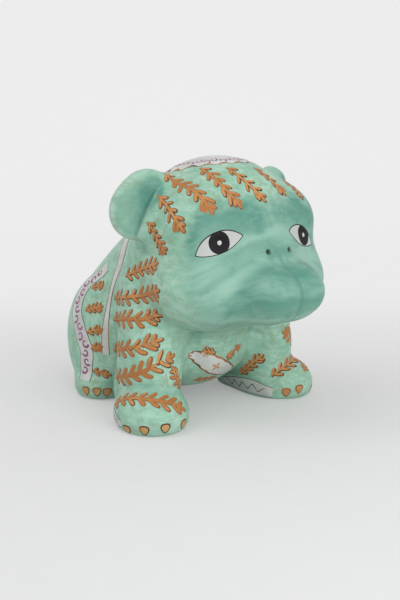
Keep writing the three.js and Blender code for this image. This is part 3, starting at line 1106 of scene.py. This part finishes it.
def green_enamel():
    """Mint and teal glaze: brushed, cloudy, with painted shade in creases, in the ear's corner, in the
    nostrils and beside the muzzle, and thin to the white body on ridges.
    """
    name = "green_enamel"
    if name in bpy.data.materials:
        return bpy.data.materials[name]
    colours = bpy.context.scene.dog_colours
    material, tree, shader, values = new_material(name)
    values.update(face_strokes(tree))
    for value in PAINTED_VALUES:
        values[value] = add_node(tree, "ShaderNodeAttribute", attribute_name=value).outputs["Fac"]
    values["off_ear"] = calc(tree, "SUBTRACT", 1.0, values["ear_wash"])
    mint = coated(tree, colours.mint, MINT_COATS, values)
    teal = coated(tree, colours.teal, TEAL_COATS, values)
    colour = coated(tree, mix_colours(tree, values["face_wash"], mint, teal), TOP_COATS, values)
    glaze(tree, shader, colour, values["streak"], GREEN_ROUGHNESS, ENAMEL_GLOSS)
    bump = add_node(tree, "ShaderNodeBump", {"Height": values["cloud"], **BUMP})
    tree.links.new(bump.outputs[0], shader.inputs["Normal"])
    return material


def plain_enamel(name, colour, shade, rough, metallic=0.0, gloss=ENAMEL_GLOSS, speck=None):
    """One enamel, laid thick and thin between a colour and its shade, with specks of a third."""
    if name in bpy.data.materials:
        return bpy.data.materials[name]
    material, tree, shader, values = new_material(name)
    coats = [(shade, ("cloud", *SHADE_CLOUDS))]
    if speck:
        coats.append((speck, ("speck",), (SPECK_STRENGTH,)))
    mixed = coated(tree, getattr(bpy.context.scene.dog_colours, colour), coats, values)
    glaze(tree, shader, mixed, values["streak"], [rough + stray for stray in ROUGHNESS_STRAY], gloss)
    shader.inputs["Metallic"].default_value = metallic
    return material


def leaf_enamel():
    """Orange-brown leaf enamel."""
    return plain_enamel("leaf_enamel", "leaf", "leaf_deep", rough=0.42, speck="line")


def line_enamel():
    """Dark brown drawing colour."""
    return plain_enamel("line_enamel", "line", "leaf_deep", rough=0.5)


def border_enamel():
    """Brown of the scalloped borders."""
    return plain_enamel("border_enamel", "leaf_deep", "line", rough=0.45)


def white_glaze():
    """White body under clear glaze, seen in the reserves."""
    return plain_enamel("white_glaze", "porcelain", "porcelain_grey", rough=0.32, speck="speck")


def eye_white():
    """White of the eyes, greyer than the reserves."""
    return plain_enamel("eye_white", "eye_white", "porcelain_grey", rough=0.36)


def black_enamel():
    """Black of the eyes and fine lines."""
    return plain_enamel("black_enamel", "black", "black_grey", rough=0.4, gloss=BLACK_GLOSS)


def iris_enamel():
    """Thinner black of the iris."""
    return plain_enamel("iris_enamel", "iris", "black_grey", rough=0.4, gloss=BLACK_GLOSS)


def puce_enamel():
    """Puce of the scrolls."""
    return plain_enamel("puce_enamel", "puce", "puce_pale", rough=0.45)


def gilding():
    """Worn gold of the claws."""
    return plain_enamel("claw_gilding", "gold", "gold_worn", rough=0.36, metallic=0.2)


# Settings


def millimetres(name, value, description, low=0.0):
    """A length setting."""
    return FloatProperty(name=name, default=value, description=f"{description}, mm", min=low)


def degrees(name, value, description):
    """An angle setting, given in degrees."""
    value = math.radians(value)
    return FloatProperty(name=name, default=value, description=description, subtype="ANGLE")


def rgb(name, red, green, blue, description):
    """A colour setting, given on the photograph's 0 to 255 scale."""
    value = linear(red, green, blue)
    return FloatVectorProperty(
        name=name, default=value, description=description,
        size=len(value), min=0, max=1, subtype="COLOR",
    )


class DogSkinSettings(bpy.types.PropertyGroup):
    """How the porcelain is sampled and how thick it is."""

    grid_step: millimetres("Grid step", 2.0, "Spacing of the grid that the skin is found on", low=1.0)
    wall: millimetres("Wall", 4.0, "Thickness of the hollow casts")
    sink: millimetres("Sink", 6.0, "How far a solid cast's seat is sunk below its edge")


class DogEnamelSettings(bpy.types.PropertyGroup):
    """Sizes of the painted enamels."""

    leaf_size: FloatProperty(name="Leaf size", default=1.0, description="Scale of the leaf lobes", min=0.2)
    leaf_height: millimetres("Leaf height", 0.2, "How far the leaf enamel stands up")
    line_height: millimetres("Line height", 0.13, "How far the outlines stand up")
    reserve_height: millimetres("Reserve height", 0.08, "How far the white reserves stand up")
    detail_height: millimetres("Detail height", 0.16, "How far drawing on a reserve stands up")
    outline_width: millimetres("Outline width", 0.62, "Width of the dark outline round a leaf")
    border_width: millimetres("Border width", 1.5, "Width of the brown border round a reserve")
    sink: millimetres("Sink", 0.3, "How far a pad runs down into the glaze")
    eye_upper: millimetres("Upper lid", 7.8, "Rise of the upper lid above the eye's corners")
    eye_lower: millimetres("Lower lid", 4.8, "Fall of the lower lid below the eye's corners")
    iris_radius: millimetres("Iris radius", 7.2, "Radius of the iris")
    claw_length: millimetres("Claw length", 5.6, "Length of a claw")


class DogColourSettings(bpy.types.PropertyGroup):
    """Colours of the glaze and enamels."""

    mint: rgb("Mint", 139, 187, 164, "Body glaze")
    mint_pale: rgb("Pale mint", 170, 206, 187, "Body glaze where it is thin")
    mint_deep: rgb("Deep mint", 118, 169, 145, "Body glaze where it is thick")
    mint_brown: rgb("Brown mint", 140, 156, 124, "Body glaze where iron shows through")
    teal: rgb("Teal", 110, 158, 139, "Face glaze")
    teal_pale: rgb("Pale teal", 142, 184, 166, "Face glaze between strokes")
    # Deep teal is also the painted shade in creases, in the ear's inner corner and beside the muzzle
    teal_deep: rgb("Deep teal", 80, 138, 123, "Face glaze where it is thick")
    porcelain: rgb("Porcelain", 206, 207, 203, "White body under clear glaze")
    porcelain_grey: rgb("Grey porcelain", 186, 188, 184, "White body in thick glaze")
    speck: rgb("Speck", 120, 110, 88, "Iron specks")
    leaf: rgb("Leaf", 200, 142, 85, "Leaf enamel")
    leaf_deep: rgb("Deep leaf", 170, 112, 62, "Leaf enamel where it is thick")
    line: rgb("Line", 72, 50, 38, "Dark brown outlines")
    eye_white: rgb("Eye white", 184, 187, 183, "White of the eyes")
    # Black is also the painted shade in the nostril pits
    black: rgb("Black", 16, 16, 18, "Eye and fine lines")
    black_grey: rgb("Grey black", 30, 30, 33, "Black where it is thin")
    iris: rgb("Iris", 28, 28, 31, "Ring round the pupil")
    puce: rgb("Puce", 128, 62, 104, "Scrolls on the sash")
    puce_pale: rgb("Pale puce", 160, 104, 140, "Scrolls where they are thin")
    gold: rgb("Gold", 194, 156, 104, "Gilded claws")
    gold_worn: rgb("Worn gold", 166, 121, 76, "Gilding where it is rubbed")


class DogStageSettings(bpy.types.PropertyGroup):
    """Camera and studio."""

    azimuth: degrees("Azimuth", -41.25, "Camera's angle round the dog")
    elevation: degrees("Elevation", 10.5, "Camera's angle above the floor")
    distance: millimetres("Distance", 600.0, "From the camera to the dog")
    lens: FloatProperty(name="Lens", default=50.0, description="Focal length, mm", min=1.0, unit="CAMERA")
    key: FloatProperty(name="Key light", default=2.4, description="Power of the key light", unit="POWER")
    fill: FloatProperty(name="Fill light", default=2.6, description="Power of the fill light", unit="POWER")
    sky: FloatProperty(name="Sky", default=0.68, description="Strength of the light from all sides")


# Operators


class DOG_OT_torso(bpy.types.Operator):
    """Makes the hollow body cast, open at the neck and at the pour hole"""

    bl_idname = "dog.torso"
    bl_label = "Torso"

    def execute(self, context):
        add_cast("torso_shell", "body_glaze", walled, context.scene.dog_skin.wall)
        return {"FINISHED"}


class DOG_OT_head(bpy.types.Operator):
    """Makes the hollow head cast, open at the neck"""

    bl_idname = "dog.head"
    bl_label = "Head"

    def execute(self, context):
        add_cast("head_shell", "face_glaze", walled, context.scene.dog_skin.wall)
        return {"FINISHED"}


class DOG_OT_ears(bpy.types.Operator):
    """Makes both dished ears"""

    bl_idname = "dog.ears"
    bl_label = "Ears"

    def execute(self, context):
        for hand in ("right", "left"):
            add_cast(f"{hand}_ear", "ear_glaze", plugged, context.scene.dog_skin.sink)
        return {"FINISHED"}


class DOG_OT_forelegs(bpy.types.Operator):
    """Makes both forelegs with their paws"""

    bl_idname = "dog.forelegs"
    bl_label = "Forelegs"

    def execute(self, context):
        for hand in ("right", "left"):
            add_cast(f"{hand}_foreleg", "body_glaze", plugged, context.scene.dog_skin.sink)
        return {"FINISHED"}


class DOG_OT_hind_legs(bpy.types.Operator):
    """Makes both hind legs with their paws"""

    bl_idname = "dog.hind_legs"
    bl_label = "Hind legs"

    def execute(self, context):
        for hand in ("right", "left"):
            add_cast(f"{hand}_hind_leg", "body_glaze", plugged, context.scene.dog_skin.sink)
        return {"FINISHED"}


class DOG_OT_tail(bpy.types.Operator):
    """Makes the stub of a tail"""

    bl_idname = "dog.tail"
    bl_label = "Tail"

    def execute(self, context):
        add_cast("tail_stub", "body_glaze", plugged, context.scene.dog_skin.sink)
        return {"FINISHED"}


class DOG_OT_leaf_sprays(bpy.types.Operator):
    """Paints the orange leaf sprays with their dark outlines"""

    bl_idname = "dog.leaf_sprays"
    bl_label = "Leaf sprays"

    def execute(self, context):
        enamel = context.scene.dog_enamel
        seed = FIRST_SEED
        for node, groups in SPRAYS.items():
            leaves, lines = [], []
            for sprays, side in groups:
                for marks in sprays:
                    leaf, line = spray(path_over(places(marks) * side, LOBE_REACH), seed)
                    leaves += leaf
                    lines += line
                    seed += 1
            add_pads(f"{node}_leaves", enamel.leaf_height, leaves, leaf_enamel(), node, "leaf_enamel")
            add_pads(f"{node}_leaf_lines", enamel.line_height, lines, line_enamel(), node, "leaf_enamel")
        return {"FINISHED"}


# C-curls: where their row starts and ends on its path, and how each turns, winds in and thins

CURL_ROW = (0.1, 0.92)
CURL_TURN = np.radians(np.linspace(-60, 240, 12))
CURL_WIND = np.linspace(1, 0.38, 12)
CURL_TAPER = np.linspace(1, 0.55, 12)
CURL_ASIDE = 0.35
ZIGZAG_ROW = (0.12, 0.88)
RING_POINTS = 25


def curls(path, count, radius, half_width):
    """Sheets of C-curls along a path, each a hook that winds in, on alternate sides."""
    middle = np.linspace(*CURL_ROW, count) * path[3]
    sign = np.where(np.arange(count) % 2, -1.0, 1.0)
    reach = radius * CURL_WIND[:, None] + half_width * CURL_TAPER[:, None] * ACROSS
    s = middle[:, None, None] + reach * np.cos(CURL_TURN)[:, None]
    t = sign[:, None, None] * (reach * np.sin(CURL_TURN)[:, None] - CURL_ASIDE * radius)
    sheets = on_path(path, s, t)
    sheets[sign > 0] = sheets[sign > 0][:, :, ::-1]
    return sheets


def zigzag(path, count, swing, half_width):
    """Sheet of a line that runs to and fro across a path that many times."""
    share = np.linspace(0, 1, 4 * count + 1)
    t = swing * (2 * np.abs(2 * (share * count % 1) - 1) - 1)
    s = np.linspace(*ZIGZAG_ROW, len(share)) * path[3]
    return on_path(path, s[:, None] * np.ones(3), t[:, None] + half_width * ACROSS)[None]


def ring(centre, toward, half):
    """A closed path round an oval on the skin."""
    turn = np.linspace(0, 2 * math.pi, RING_POINTS)
    return path_over(patch(centre, toward, half[0] * np.cos(turn), half[1] * np.sin(turn)))


# Oval reserves: grid rows, depth of the scallops, and the flower and scroll drawn on them

RESERVE_ROWS = 41
SCALLOP_DEPTH = 0.05
BORDER_SCALLOP_DEPTH = 0.02
PETAL_PLACE = 2.2
PETAL_HALF = (1.9, 0.9)
PETAL_ROWS = 5
SCROLL_SHARE = 0.8
SCROLL_CURLS = {"count": 26, "radius": 2.8, "half_width": 0.6}


def add_reserve(name, node, centre, toward, half, waves):
    """A white oval with a scalloped brown border and a cross flower, and on the head a scroll."""
    enamel = bpy.context.scene.dog_enamel
    centre, toward = places((centre,))[0], places((toward,))[0]
    half = np.array(half)
    outer = half + enamel.border_width
    turn = np.arange(4) * math.pi / 2
    petals = patch(centre, toward, PETAL_PLACE * np.cos(turn), PETAL_PLACE * np.sin(turn))
    white = [oval(centre, toward, half, RESERVE_ROWS, waves, SCALLOP_DEPTH)]
    brown = [oval(centre, toward, outer, RESERVE_ROWS, waves, BORDER_SCALLOP_DEPTH)]
    flower = [oval(petal, centre, PETAL_HALF, PETAL_ROWS) for petal in petals]
    title = f"{name}_reserve"
    add_pads(title, enamel.line_height, white, white_glaze(), node, "white_reserve")
    add_pads(f"{title}_border", enamel.reserve_height, brown, border_enamel(), node, "leaf_enamel")
    add_pads(f"{title}_flower", enamel.detail_height, flower, leaf_enamel(), node, "leaf_enamel")
    if name == "head":
        scroll = [curls(ring(centre, toward, SCROLL_SHARE * half), **SCROLL_CURLS)]
        add_pads(f"{title}_scroll", enamel.detail_height, scroll, puce_enamel(), node, "leaf_enamel")


# Bands: half widths run through along each, grid rows and columns, and the width of the dark edge

BACK_BAND_HALF_WIDTHS = FLANK_BAND_HALF_WIDTHS + FLANK_BAND_HALF_WIDTHS[-2::-1]
BACK_BAND = {"half_widths": BACK_BAND_HALF_WIDTHS, "rows": 120, "columns": 5}
BACK_BAND_EDGE = 0.6
SASH_BAND = {"half_widths": (5.0, 6.4, 6.4, 6.4, 5.6), "rows": 90, "columns": 7}
SASH_EDGE = 0.5
SASH_CURLS = {"count": 13, "radius": 3.4, "half_width": 0.95}
PANEL_BAND = {"half_widths": (2.0, 4.6, 5.4, 4.0), "rows": 40, "columns": 5}
PANEL_EDGE = 0.4
PANEL_ZIGZAG = {"count": 4, "swing": 2.4, "half_width": 0.4}


def band_sheets(path, edge, half_widths, rows, columns):
    """Sheets of a band along a path and of a wider one that shows below it as its edge."""
    half_widths = np.array(half_widths)
    return [[ribbon(path, half_widths + extra, rows, columns)] for extra in (0.0, edge)]


def add_drawn_band(name, node, path, band, edge, drawing, title, material, slot):
    """A white band with fine black edges, and a drawing on it with its own title and material; its slot is
    passed on and not used.
    """
    enamel = bpy.context.scene.dog_enamel
    white, black = band_sheets(path, edge, **band)
    add_pads(name, enamel.line_height, white, white_glaze(), node, "white_reserve")
    add_pads(f"{name}_lines", enamel.reserve_height, black, black_enamel(), node, "eye_enamel")
    add_pads(f"{name}_{title}", enamel.detail_height, [drawing], material, node, slot)


class DOG_OT_reserves(bpy.types.Operator):
    """Paints the white reserves, bands and sash with their borders and scrolls"""

    bl_idname = "dog.reserves"
    bl_label = "White reserves"

    def execute(self, context):
        enamel = context.scene.dog_enamel
        for name, reserve in RESERVES.items():
            add_reserve(name, **reserve)
        half_band = np.concatenate((seen(FLANK_BAND), FLANK_BAND_OVER))
        path = path_over(np.concatenate((half_band, (half_band * MIRROR)[-2::-1])))
        white, brown = band_sheets(path, BACK_BAND_EDGE, **BACK_BAND)
        node = "torso_shell"
        add_pads("back_band", enamel.line_height, white, white_glaze(), node, "white_reserve")
        add_pads("back_band_border", enamel.reserve_height, brown, line_enamel(), node, "leaf_enamel")
        sash = places(SASH)
        for hand, side, panel in (("right", AS_MARKED, OUTER_PANEL), ("left", MIRROR, INNER_PANEL)):
            path = path_over(sash * side)
            add_drawn_band(
                f"{hand}_sash", f"{hand}_hind_leg", path, SASH_BAND, SASH_EDGE,
                curls(path, **SASH_CURLS), "scroll", puce_enamel(), "leaf_enamel",
            )
            path = path_over(panel)
            add_drawn_band(
                f"{hand}_foot_panel", f"{hand}_foreleg", path, PANEL_BAND, PANEL_EDGE,
                zigzag(path, **PANEL_ZIGZAG), "zigzag", black_enamel(), "eye_enamel",
            )
        return {"FINISHED"}


# Eyes: grids, the lids' curves, how the rim outgrows the white, and shares of the iris's radius

EYE_ROWS = 25
EYE_COLUMNS = 9
IRIS_ROWS = 13
LID_GAP = 0.12
UPPER_LID_POWER = 0.85
LOWER_LID_POWER = 0.9
RIM_WIDTH = 0.55
RIM_AT_CORNERS = 1.6
RIM_ABOVE = 1.3
IRIS_SHARES = {"iris": 1.0, "pupil": 0.66, "light": 0.2}
EYE_LAYER = 0.04


def lids(x, half, upper, lower):
    """Heights of the upper and lower lid at x along the eye, which runs from -half to half."""
    share = np.clip(1 - (x / half) ** 2, 0, 1)
    return upper * share**UPPER_LID_POWER + LID_GAP, -lower * share**LOWER_LID_POWER - LID_GAP


def eye_sheets(corners, iris_at):
    """Sheets of one eye by name: rim, white, iris, pupil and light, from its corners and its iris."""
    enamel = bpy.context.scene.dog_enamel
    first, last = corners
    centre = settle((first + last)[None] / 2)[0]
    half = np.linalg.norm(last - first) / 2
    sheets = {}
    for name, grow in (("rim", RIM_WIDTH), ("white", 0.0)):
        reach = half + RIM_AT_CORNERS * grow
        x = reach * np.sin(np.linspace(-math.pi / 2, math.pi / 2, EYE_ROWS))
        high, low = lids(x, reach, enamel.eye_upper + RIM_ABOVE * grow, enamel.eye_lower + grow)
        y = low[:, None] + (high - low)[:, None] * np.linspace(0, 1, EYE_COLUMNS)
        sheets[name] = patch(centre, last, x[:, None] + 0 * y, y)[None]
    axes = patch(centre, last, np.array((0, 1.0, 0)), np.array((0, 0, 1.0)))
    iris_x, iris_y = (axes[1:] - axes[0]) @ (iris_at - centre)
    a, b = disc(IRIS_ROWS)
    for name, share in IRIS_SHARES.items():
        x = iris_x + enamel.iris_radius * share * a
        high, low = lids(x, half, enamel.eye_upper, enamel.eye_lower)
        y = np.clip(iris_y + enamel.iris_radius * share * b, low, high)
        sheets[name] = patch(centre, last, x, y)[None]
    return sheets


class DOG_OT_eyes(bpy.types.Operator):
    """Paints both eyes: almond whites, dark rims, irises, pupils and a light in each"""

    bl_idname = "dog.eyes"
    bl_label = "Eyes"

    def execute(self, context):
        enamel = context.scene.dog_enamel
        layers = (
            ("rim", enamel.reserve_height, black_enamel),
            ("white", enamel.line_height, eye_white),
            ("iris", enamel.detail_height, iris_enamel),
            ("pupil", enamel.detail_height + EYE_LAYER, black_enamel),
            ("light", enamel.detail_height + 2 * EYE_LAYER, white_glaze),
        )
        for hand, marks in EYES.items():
            sheets = eye_sheets(seen(marks["corners"]), seen((marks["iris"],))[0])
            for name, height, material in layers:
                title = f"{hand}_eye_{name}"
                add_pads(title, height, [sheets[name]], material(), "head_shell", "eye_enamel")
        return {"FINISHED"}


# Claws: shares of the length, and of the half breadth there, and the width of the dark edge

CLAW_ALONG = np.array((-0.5, -0.42, -0.2, 0.1, 0.35, 0.5))
CLAW_SPREAD = np.array((0.35, 0.8, 1.0, 0.8, 0.42, 0.06))
CLAW_HALF_BREADTH = 0.48
CLAW_COLUMNS = 5
CLAW_EDGE = 1.0
BELOW = (0, 0, -10)


def claw_sheets(claws, length, edge):
    """Sheets of drop-shaped claws at points on the skin, grown by an edge all round."""
    a = (CLAW_ALONG * (length + 2 * edge))[:, None] * np.ones(CLAW_COLUMNS)
    half = CLAW_SPREAD * (CLAW_HALF_BREADTH * length + edge)
    b = half[:, None] * np.linspace(-1, 1, CLAW_COLUMNS)
    return [patch(claw, claw + BELOW, a, b)[None] for claw in claws]


class DOG_OT_claws(bpy.types.Operator):
    """Gilds the claws, each a drop with a dark outline"""

    bl_idname = "dog.claws"
    bl_label = "Claws"

    def execute(self, context):
        enamel = context.scene.dog_enamel
        hind = seen(HIND_CLAWS)
        paws = {
            "right_foreleg": seen(RIGHT_CLAWS),
            "left_foreleg": np.concatenate((seen(LEFT_CLAWS), places(LEFT_HIDDEN_CLAWS))),
            "right_hind_leg": hind,
            "left_hind_leg": hind * MIRROR,
        }
        for node, claws in paws.items():
            gold, line = (claw_sheets(claws, enamel.claw_length, edge) for edge in (0.0, CLAW_EDGE))
            add_pads(f"{node}_claws", enamel.leaf_height, gold, gilding(), node, "claw_gilding")
            add_pads(f"{node}_claw_lines", enamel.line_height, line, line_enamel(), node, "leaf_enamel")
        return {"FINISHED"}


# Studio: the backdrop's sizes in metres, its paper, and the lights' places right, up and ahead in mm

BACKDROP_WIDTH = 3.2
BACKDROP_FRONT = -1.4
BACKDROP_BEND = 1.0
BACKDROP_RADIUS = 0.7
BACKDROP_HEIGHT = 1.6
BACKDROP_TURN = np.linspace(0, math.pi / 2, 24)
BACKDROP_COLUMNS = 9
# Painted light: the paper is darker near the dog and lighter away from the camera, and glows more the
# further away it is
PAPER_NEAR = (linear(217, 218, 218), linear(215, 216, 216))
PAPER_FAR = linear(243, 242, 243)
PAPER_CLOUDS = (0.2, 0.8)
PAPER_AWAY = (-0.2, 1.5)
PAPER_ROUGHNESS = 0.9
PAPER_GLOSS = 0.1
GLOW_COLOUR = (0.97, 0.97, 0.97, 1.0)
GLOW_AWAY = (0.0, 0.5, 0.25, 0.62)
GLOW_RAYS = ("Is Glossy Ray", "Is Transmission Ray")
KEY_PLACE = (-560, 760, -420)
KEY_SIZE = 0.7
FILL_PLACE = (380, 120, -640)
FILL_SIZE = 0.6
CLIP_START = 0.01


def backdrop_paper(level):
    """White paper, made lighter along a level direction as painted light, that glows a little where it is
    seen.
    """
    material, tree, shader, values = new_material("backdrop_paper")
    inputs = {0: object_place(tree), 1: level}
    away = add_node(tree, "ShaderNodeVectorMath", inputs, operation="DOT_PRODUCT").outputs["Value"]
    near = mix_colours(tree, ramp(tree, values["cloud"], *PAPER_CLOUDS), *PAPER_NEAR)
    shade = mix_colours(tree, ramp(tree, away, *PAPER_AWAY), near, PAPER_FAR)
    tree.links.new(shade, shader.inputs["Base Color"])
    shader.inputs["Roughness"].default_value = PAPER_ROUGHNESS
    shader.inputs["Specular IOR Level"].default_value = PAPER_GLOSS
    rays = add_node(tree, "ShaderNodeLightPath").outputs
    shown = rays["Is Camera Ray"]
    for kind in GLOW_RAYS:
        shown = calc(tree, "MAXIMUM", shown, rays[kind])
    share = calc(tree, "MULTIPLY", shown, ramp(tree, away, *GLOW_AWAY))
    glow = add_node(tree, "ShaderNodeEmission", {"Color": GLOW_COLOUR})
    lit = add_node(tree, "ShaderNodeMixShader", {0: share, 1: shader.outputs[0], 2: glow.outputs[0]})
    tree.links.new(lit.outputs[0], tree.nodes["Material Output"].inputs["Surface"])
    return material


def backdrop():
    """A floor that curves up into a wall behind the dog, square to the camera."""
    props = bpy.context.scene.dog_stage
    right, _, ahead = view_axes(props.azimuth, props.elevation)
    level = np.array((ahead[0], ahead[1], 0.0)) / math.hypot(ahead[0], ahead[1])
    bend_depth = BACKDROP_BEND + BACKDROP_RADIUS * np.sin(BACKDROP_TURN)
    bend_rise = BACKDROP_RADIUS * (1 - np.cos(BACKDROP_TURN))
    depth = np.concatenate(((BACKDROP_FRONT,), bend_depth, bend_depth[-1:]))
    rise = np.concatenate(((0.0,), bend_rise, (BACKDROP_HEIGHT,)))
    across = np.linspace(-BACKDROP_WIDTH, BACKDROP_WIDTH, BACKDROP_COLUMNS)
    points = depth[:, None, None] * level + across[None, :, None] * right
    points[..., 2] += rise[:, None]
    number = np.arange(depth.size * across.size).reshape(depth.size, across.size)
    corners = (number[:-1, :-1], number[:-1, 1:], number[1:, 1:], number[1:, :-1])
    quads = np.stack(corners, -1).reshape(-1, 4)
    mesh = bpy.data.meshes.new("backdrop")
    mesh.from_pydata(points.reshape(-1, 3).tolist(), [], quads.tolist())
    mesh.polygons.foreach_set("use_smooth", np.ones(len(quads), bool))
    mesh.materials.append(backdrop_paper(level))
    floor = bpy.data.objects.new("backdrop", mesh)
    bpy.context.scene.collection.objects.link(floor)


def aimed(name, data, place):
    """An object at a place in the sculptor's frame that looks at the dog."""
    holder = bpy.data.objects.new(name, data)
    holder.location = Vector(to_row(place))
    aim = Vector(to_row(VIEW_TARGET)) - holder.location
    holder.rotation_euler = aim.to_track_quat("-Z", "Y").to_euler()
    bpy.context.scene.collection.objects.link(holder)
    return holder


class DOG_OT_stage(bpy.types.Operator):
    """Sets up the backdrop, the soft lights and the photograph's camera"""

    bl_idname = "dog.stage"
    bl_label = "Studio"

    def execute(self, context):
        scene = context.scene
        props = scene.dog_stage
        axes = np.array(view_axes(props.azimuth, props.elevation))
        target = np.array(VIEW_TARGET)
        backdrop()
        lights = (("key", KEY_PLACE, props.key, KEY_SIZE), ("fill", FILL_PLACE, props.fill, FILL_SIZE))
        for name, place, power, size in lights:
            light = bpy.data.lights.new(name, "AREA")
            light.energy = power
            light.size = size
            aimed(name, light, target + place @ axes)
        world = bpy.data.worlds.new("studio")
        world.use_nodes = True
        background = world.node_tree.nodes["Background"]
        background.inputs["Color"].default_value = (1.0, 1.0, 1.0, 1.0)
        background.inputs["Strength"].default_value = props.sky
        scene.world = world
        camera = bpy.data.cameras.new("photo_camera")
        camera.lens = props.lens
        camera.sensor_width = SENSOR
        camera.clip_start = CLIP_START
        scene.camera = aimed("photo_camera", camera, target - props.distance * axes[2])
        scene.view_settings.view_transform = "Standard"
        return {"FINISHED"}


class DOG_PT_panel(bpy.types.Panel):
    """Steps and settings of the porcelain dog"""

    bl_label = "Porcelain dog"
    bl_idname = "DOG_PT_panel"
    bl_space_type = "VIEW_3D"
    bl_region_type = "UI"
    bl_category = "Dog"

    def draw(self, context):
        for operator in OPERATORS:
            self.layout.operator(operator.bl_idname)
        for group in SETTINGS:
            box = self.layout.box()
            settings = getattr(context.scene, group)
            for name in settings.bl_rna.properties.keys():
                if name not in ("rna_type", "name"):
                    box.prop(settings, name)


SETTINGS = {
    "dog_skin": DogSkinSettings,
    "dog_enamel": DogEnamelSettings,
    "dog_colours": DogColourSettings,
    "dog_stage": DogStageSettings,
}
OPERATORS = (
    DOG_OT_torso, DOG_OT_head, DOG_OT_ears, DOG_OT_forelegs, DOG_OT_hind_legs, DOG_OT_tail,
    DOG_OT_leaf_sprays, DOG_OT_reserves, DOG_OT_eyes, DOG_OT_claws, DOG_OT_stage,
)


def register():
    """Registers the settings, the steps and the panel."""
    for name, group in SETTINGS.items():
        bpy.utils.register_class(group)
        setattr(bpy.types.Scene, name, PointerProperty(type=group))
    for item in (*OPERATORS, DOG_PT_panel):
        bpy.utils.register_class(item)


def unregister():
    """Removes what register added."""
    for item in (DOG_PT_panel, *reversed(OPERATORS)):
        bpy.utils.unregister_class(item)
    for name, group in SETTINGS.items():
        delattr(bpy.types.Scene, name)
        bpy.utils.unregister_class(group)


def main():
    """Makes the whole dog step by step."""
    register()
    for operator in OPERATORS:
        group, name = operator.bl_idname.split(".")
        if getattr(getattr(bpy.ops, group), name)() != {"FINISHED"}:
            raise RuntimeError(f"{operator.bl_label} wasn't finished")
    bpy.context.view_layer.update()


if __name__ == "__main__":
    main()
